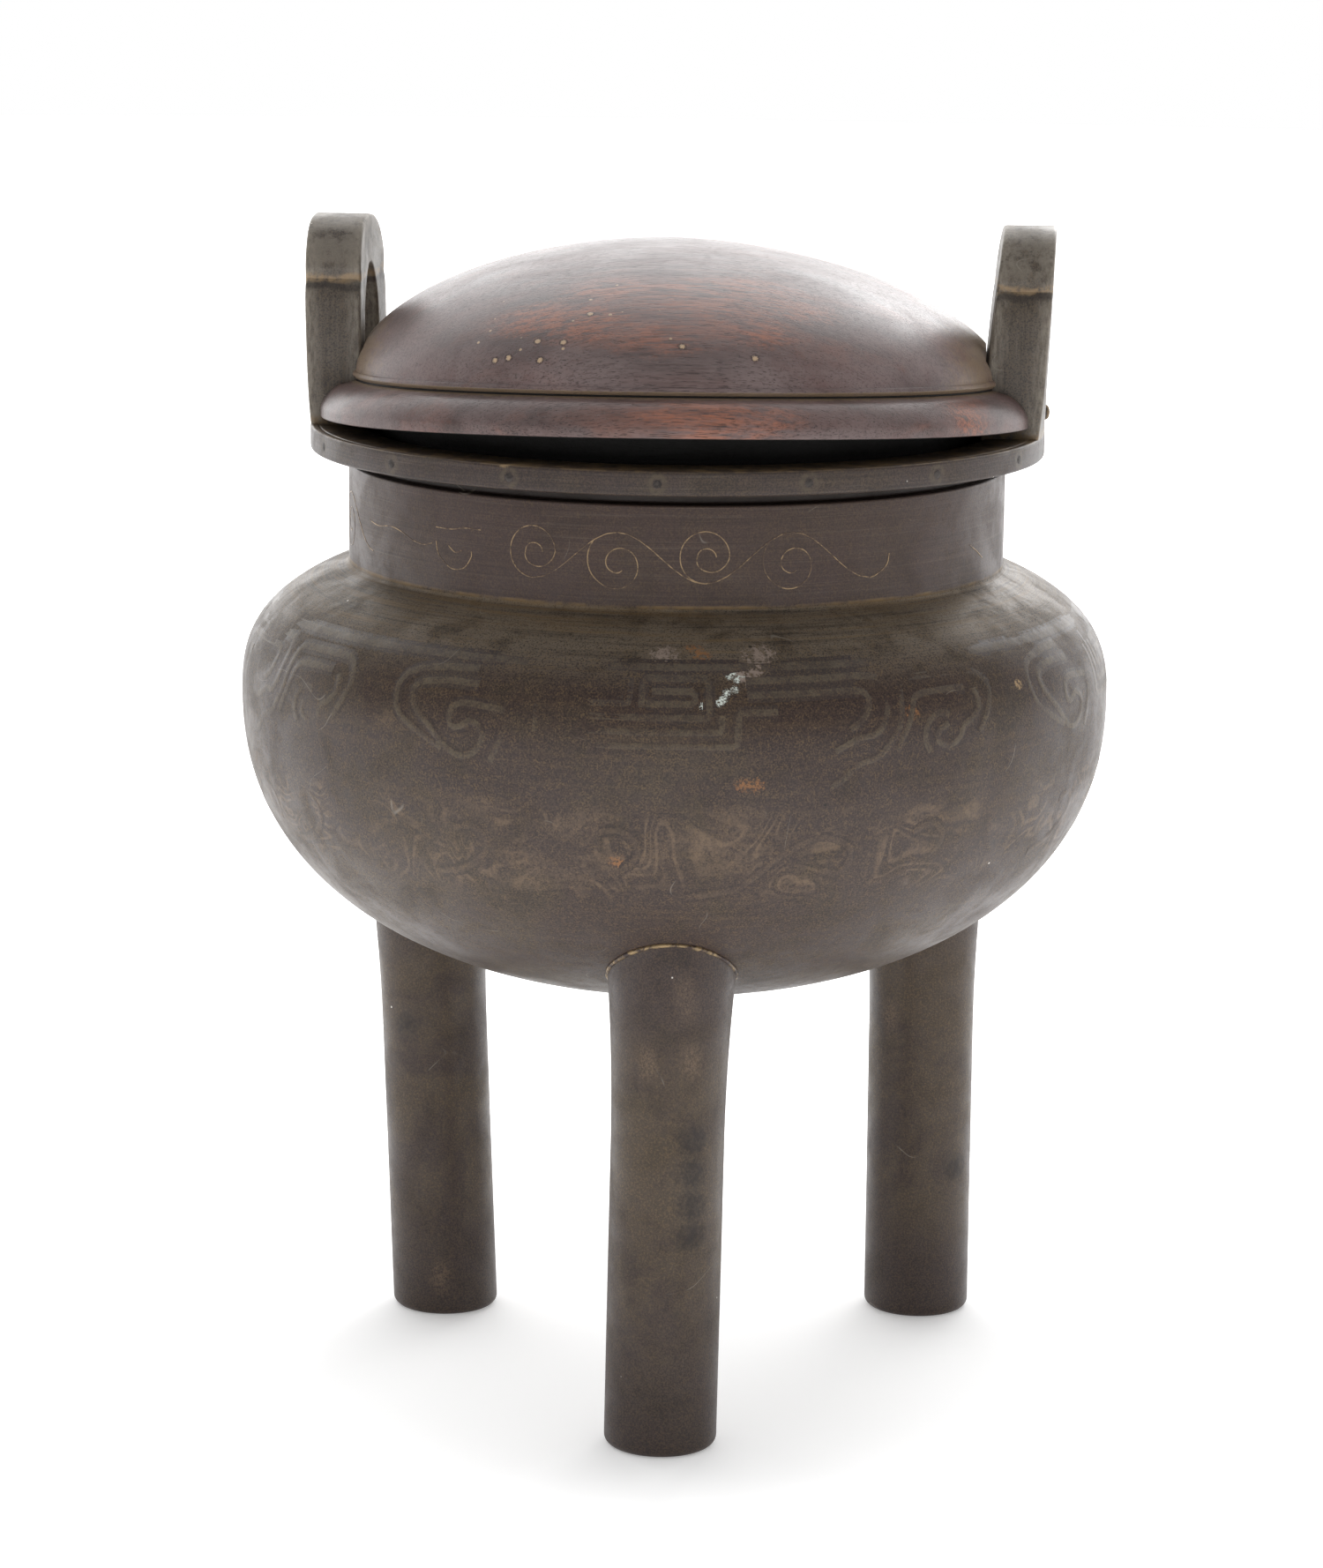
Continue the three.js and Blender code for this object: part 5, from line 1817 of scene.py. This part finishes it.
def lid_outline(bowl, rim, lid):
    radius = rim_radius(bowl, rim) - lid.inset
    dome_radius = radius - lid.dome_inset
    tenon = bowl.neck_radius - bowl.neck_wall - lid.tenon_clearance
    hollow = tenon - lid.tenon_wall
    ovolo = quarter(lid.ovolo_width, lid.ovolo_height, lid.ovolo_fullness, OVOLO_STEPS)
    root = radius - lid.ovolo_width
    ovolo_top = lid.edge_height + lid.ovolo_height
    floor = ovolo_top + lid.bead_radius
    top = bead_top(lid)
    under = [
        (hollow, -lid.tenon_depth),
        (tenon, -lid.tenon_depth),
        (tenon, 0.0),
        (radius, 0.0),
        (radius, lid.edge_height),
    ]
    moulding = [
        (root, ovolo_top),
        (dome_radius + lid.bead_radius - lid.groove_depth, floor),
        (dome_radius + lid.bead_radius, floor + lid.groove_height),
        (dome_radius + lid.bead_radius / 2, top),
        (dome_radius, top),
    ]
    dome = quarter(dome_radius, lid.dome_rise, lid.dome_fullness, DOME_STEPS)[1:]
    inside = quarter(hollow, top + lid.dome_rise - lid.crown + lid.tenon_depth, ELLIPSE, HOLLOW_STEPS)
    return [
        *eased(under, LID_EASE)[:-1],
        *[(root + across, lid.edge_height + up) for across, up in ovolo][:-1],
        *eased(moulding, LID_EASE)[1:-1],
        *raised(dome, top),
        *reversed(raised(inside, -lid.tenon_depth)[1:]),
    ]


def warp_lid(points, lid, radius):
    """Age has lifted the front and back of the lid, and the dome is cut a little lower on the right."""
    top = bead_top(lid)
    warped = []
    for x, y, z in points:
        up = max(0.0, z - top) / lid.dome_rise
        warped.append((x, y, z + lid.cup * (y / radius) ** 2 - x * math.tan(lid.dome_lean) * up))
    return warped


def lid_droop(lid, radius):
    """How far the warped, tilted edge reaches below the lid's own level."""
    lowest = 0.0
    for k in range(RING_SEGMENTS):
        y = radius * math.sin(2 * math.pi * k / RING_SEGMENTS)
        z = lid.cup * (y / radius) ** 2
        lowest = min(lowest, z * math.cos(lid.tilt) - y * math.sin(lid.tilt))
    return -lowest


def notch_block(name, turn, level, floor, half_width):
    """A block that cuts the notch for one ear. Its floor leans out as the ear does."""
    radius, lean = floor
    far = radius + NOTCH_REACH
    side = half_width
    corners = []
    for z in (-NOTCH_BELOW, NOTCH_ABOVE):
        near = radius + z * math.tan(lean)
        corners += [(near, -side, z), (far, -side, z), (far, side, z), (near, side, z)]
    faces = [(0, 3, 2, 1), (4, 5, 6, 7), (0, 1, 5, 4), (1, 2, 6, 5), (2, 3, 7, 6), (3, 0, 4, 7)]
    return mesh_piece(name, turn_about_axis(corners, turn, level), faces)


def mark_lid(piece, place, lid, radius, notch_floors):
    """Marks the underside, tenon and hollow for painted shade, and the dust in the groove and beside the
    notches.
    """
    home = place.inverted()
    dome_radius = radius - lid.dome_inset
    groove_bottom = lid.edge_height + lid.ovolo_height
    top = bead_top(lid)
    soot, dust = [], []
    for vertex in piece.data.vertices:
        spot = home @ vertex.co
        across = math.hypot(spot.x, spot.y)
        level = spot.z - lid.cup * (spot.y / radius) ** 2
        # Points of the underside, tenon and hollow, marked for painted shade
        under = level < MM / 10 or across < dome_radius and level < top - MM
        hollow = across < dome_radius / 2 and level < top + lid.dome_rise / 2
        soot.append(1.0 if under or hollow else 0.0)
        in_groove = groove_bottom < level < top - lid.bead_radius and across > dome_radius - MM
        dusty = 1.0 if in_groove else 0.0
        for turn, floor in notch_floors:
            gap = floor - (vertex.co.x * math.cos(turn) + vertex.co.y * math.sin(turn))
            if level > top - lid.bead_radius:
                dusty = max(dusty, NOTCH_DUST * (1 - abs(gap) / NOTCH_DUST_REACH))
        dust.append(dusty)
    mark_points(piece, "soot", soot)
    mark_points(piece, "dust", dust)


class MakeLid(bpy.types.Operator):
    """Makes the turned wooden lid with its notches for the ears"""

    bl_idname = "censer.make_lid"
    bl_label = "Lid"

    def execute(self, context):
        scene = context.scene
        bowl, rim, ears, lid = scene.censer_bowl, scene.censer_rim, scene.censer_ears, scene.censer_lid
        radius = rim_radius(bowl, rim) - lid.inset
        points, faces = turned_mesh(lid_outline(bowl, rim, lid), RING_SEGMENTS, closed=True)
        level = rim_top(bowl, rim)
        height = level + bowl.seat + lid_droop(lid, radius)
        place = Matrix.Translation((0, 0, height)) @ Matrix.Rotation(-lid.tilt, 4, "X")
        points = [place @ Vector(point) for point in warp_lid(points, lid, radius)]
        piece = mesh_piece("censer_lid", points, faces)
        sag = (ears.width / 2) ** 2 / (2 * ears.bend_radius)
        half_width = ears.width / 2 + lid.notch_clearance
        blocks = []
        notch_floors = []
        for name, (turn, (inner, lean), _) in ear_places(scene).items():
            floor = inner - sag - lid.notch_clearance
            notch_floors.append((turn, floor))
            block = notch_block("notch_" + name, turn, level, (floor, lean), half_width)
            cut = piece.modifiers.new(name, "BOOLEAN")
            cut.operation = "DIFFERENCE"
            cut.solver = "EXACT"
            cut.object = block
            blocks.append(block)
        baked(piece)
        for block in blocks:
            bpy.data.meshes.remove(block.data)
        tidy_mesh(piece.data)
        mark_lid(piece, place, lid, radius, notch_floors)
        set_piece(piece, LID, wood_finish(scene.censer_wood), "wood", "lid")
        return {"FINISHED"}


# Stage

FLOOR_RADIUS = 4.0
FLOOR_SEGMENTS = 64
SENSOR_WIDTH = 36.0  # millimetres
# Where the room's light begins to rise, as shares of the way towards the back and towards the top
BACK_LIGHT_SHARE = 0.1
TOP_LIGHT_SHARE = 0.2
# The panel of light behind the right shoulder, in metres and watts
PANEL_PLACE = (0.43, 1.02, 0.7)
PANEL_AIM = (0, 0, 0.19)
PANEL_SIZE = 0.4
PANEL_POWER = 2.1


def room_light(stage):
    """A soft white room that is brighter behind the piece than in front of it."""
    world = bpy.data.worlds.new("censer_room")
    world.use_nodes = True
    world.node_tree.nodes.clear()
    room = NodeTree(world.node_tree)
    way = room.parts(room.put("ShaderNodeTexCoord")["Generated"])
    behind = room.step(way["Y"], BACK_LIGHT_SHARE, 1.0, stage.front_light, stage.back_light)
    above = room.step(way["Z"], TOP_LIGHT_SHARE, 1.0, 0.0, stage.top_light)
    seen = room.put("ShaderNodeLightPath")["Is Camera Ray"]
    values = {0: seen, 2: room.calc("ADD", behind, above), 3: stage.backdrop}
    strength = room.put("ShaderNodeMix", values)[0]
    light = room.put("ShaderNodeBackground", {"Color": WHITE, "Strength": strength})[0]
    room.put("ShaderNodeOutputWorld", {0: light})
    bpy.context.scene.world = world


def soft_panel():
    data = bpy.data.lights.new("panel_right", "AREA")
    data.shape = "SQUARE"
    data.size = PANEL_SIZE
    data.energy = PANEL_POWER
    light = added("panel_right", data)
    light.location = PANEL_PLACE
    ahead = Vector(PANEL_AIM) - Vector(PANEL_PLACE)
    light.rotation_euler = ahead.to_track_quat("-Z", "Y").to_euler()


def place_camera(stage):
    camera = added("camera", bpy.data.cameras.new("camera"))
    camera.data.lens = stage.lens
    camera.data.sensor_width = SENSOR_WIDTH
    camera.location = (stage.camera_side, -stage.camera_distance, stage.camera_height)
    ahead = Vector((0, math.cos(stage.camera_dip), -math.sin(stage.camera_dip)))
    upright = Vector((0, math.sin(stage.camera_dip), math.cos(stage.camera_dip)))
    right = Vector((1, 0, 0)) * math.cos(stage.camera_roll) + upright * math.sin(stage.camera_roll)
    up = right.cross(ahead)
    camera.rotation_euler = Matrix((right, up, -ahead)).transposed().to_euler()
    bpy.context.scene.camera = camera


class MakeStage(bpy.types.Operator):
    """Makes the floor, the room's light and the camera"""

    bl_idname = "censer.make_stage"
    bl_label = "Stage"

    def execute(self, context):
        stage = context.scene.censer_stage
        floor = mesh_piece("floor", *turned_mesh([(FLOOR_RADIUS, 0.0), (0.0, 0.0)], FLOOR_SEGMENTS))
        floor.data.materials.append(floor_finish(stage))
        room_light(stage)
        soft_panel()
        place_camera(stage)
        context.scene.view_settings.view_transform = "Standard"
        return {"FINISHED"}


PIECE_OPERATORS = [
    MakeBowl,
    MakeRim,
    MakeRimPins,
    MakeEars,
    MakeRivets,
    MakeLegs,
    MakeSeams,
    MakeNeckScroll,
    MakeBellyFret,
    MakeLid,
    MakeStage,
]


class CenserPanel(bpy.types.Panel):
    """Sidebar panel with the censer's sizes, colours and pieces"""

    bl_idname = "VIEW3D_PT_censer"
    bl_label = "Tripod Censer"
    bl_space_type = "VIEW_3D"
    bl_region_type = "UI"
    bl_category = "Censer"

    def draw(self, context):
        layout = self.layout
        for key, group in SIZE_GROUPS.items():
            box = layout.box()
            box.label(text=group.__doc__)
            for name in group.__annotations__:
                box.prop(getattr(context.scene, key), name)
        for operator in PIECE_OPERATORS:
            layout.operator(operator.bl_idname)


def register():
    for group in SIZE_GROUPS.values():
        bpy.utils.register_class(group)
    for key, group in SIZE_GROUPS.items():
        setattr(bpy.types.Scene, key, PointerProperty(type=group))
    for operator in PIECE_OPERATORS:
        bpy.utils.register_class(operator)
    bpy.utils.register_class(CenserPanel)


def unregister():
    bpy.utils.unregister_class(CenserPanel)
    for operator in reversed(PIECE_OPERATORS):
        bpy.utils.unregister_class(operator)
    for key in SIZE_GROUPS:
        delattr(bpy.types.Scene, key)
    for group in reversed(SIZE_GROUPS.values()):
        bpy.utils.unregister_class(group)


def main():
    register()
    for operator in PIECE_OPERATORS:
        category, name = operator.bl_idname.split(".")
        getattr(getattr(bpy.ops, category), name)()


if __name__ == "__main__":
    main()
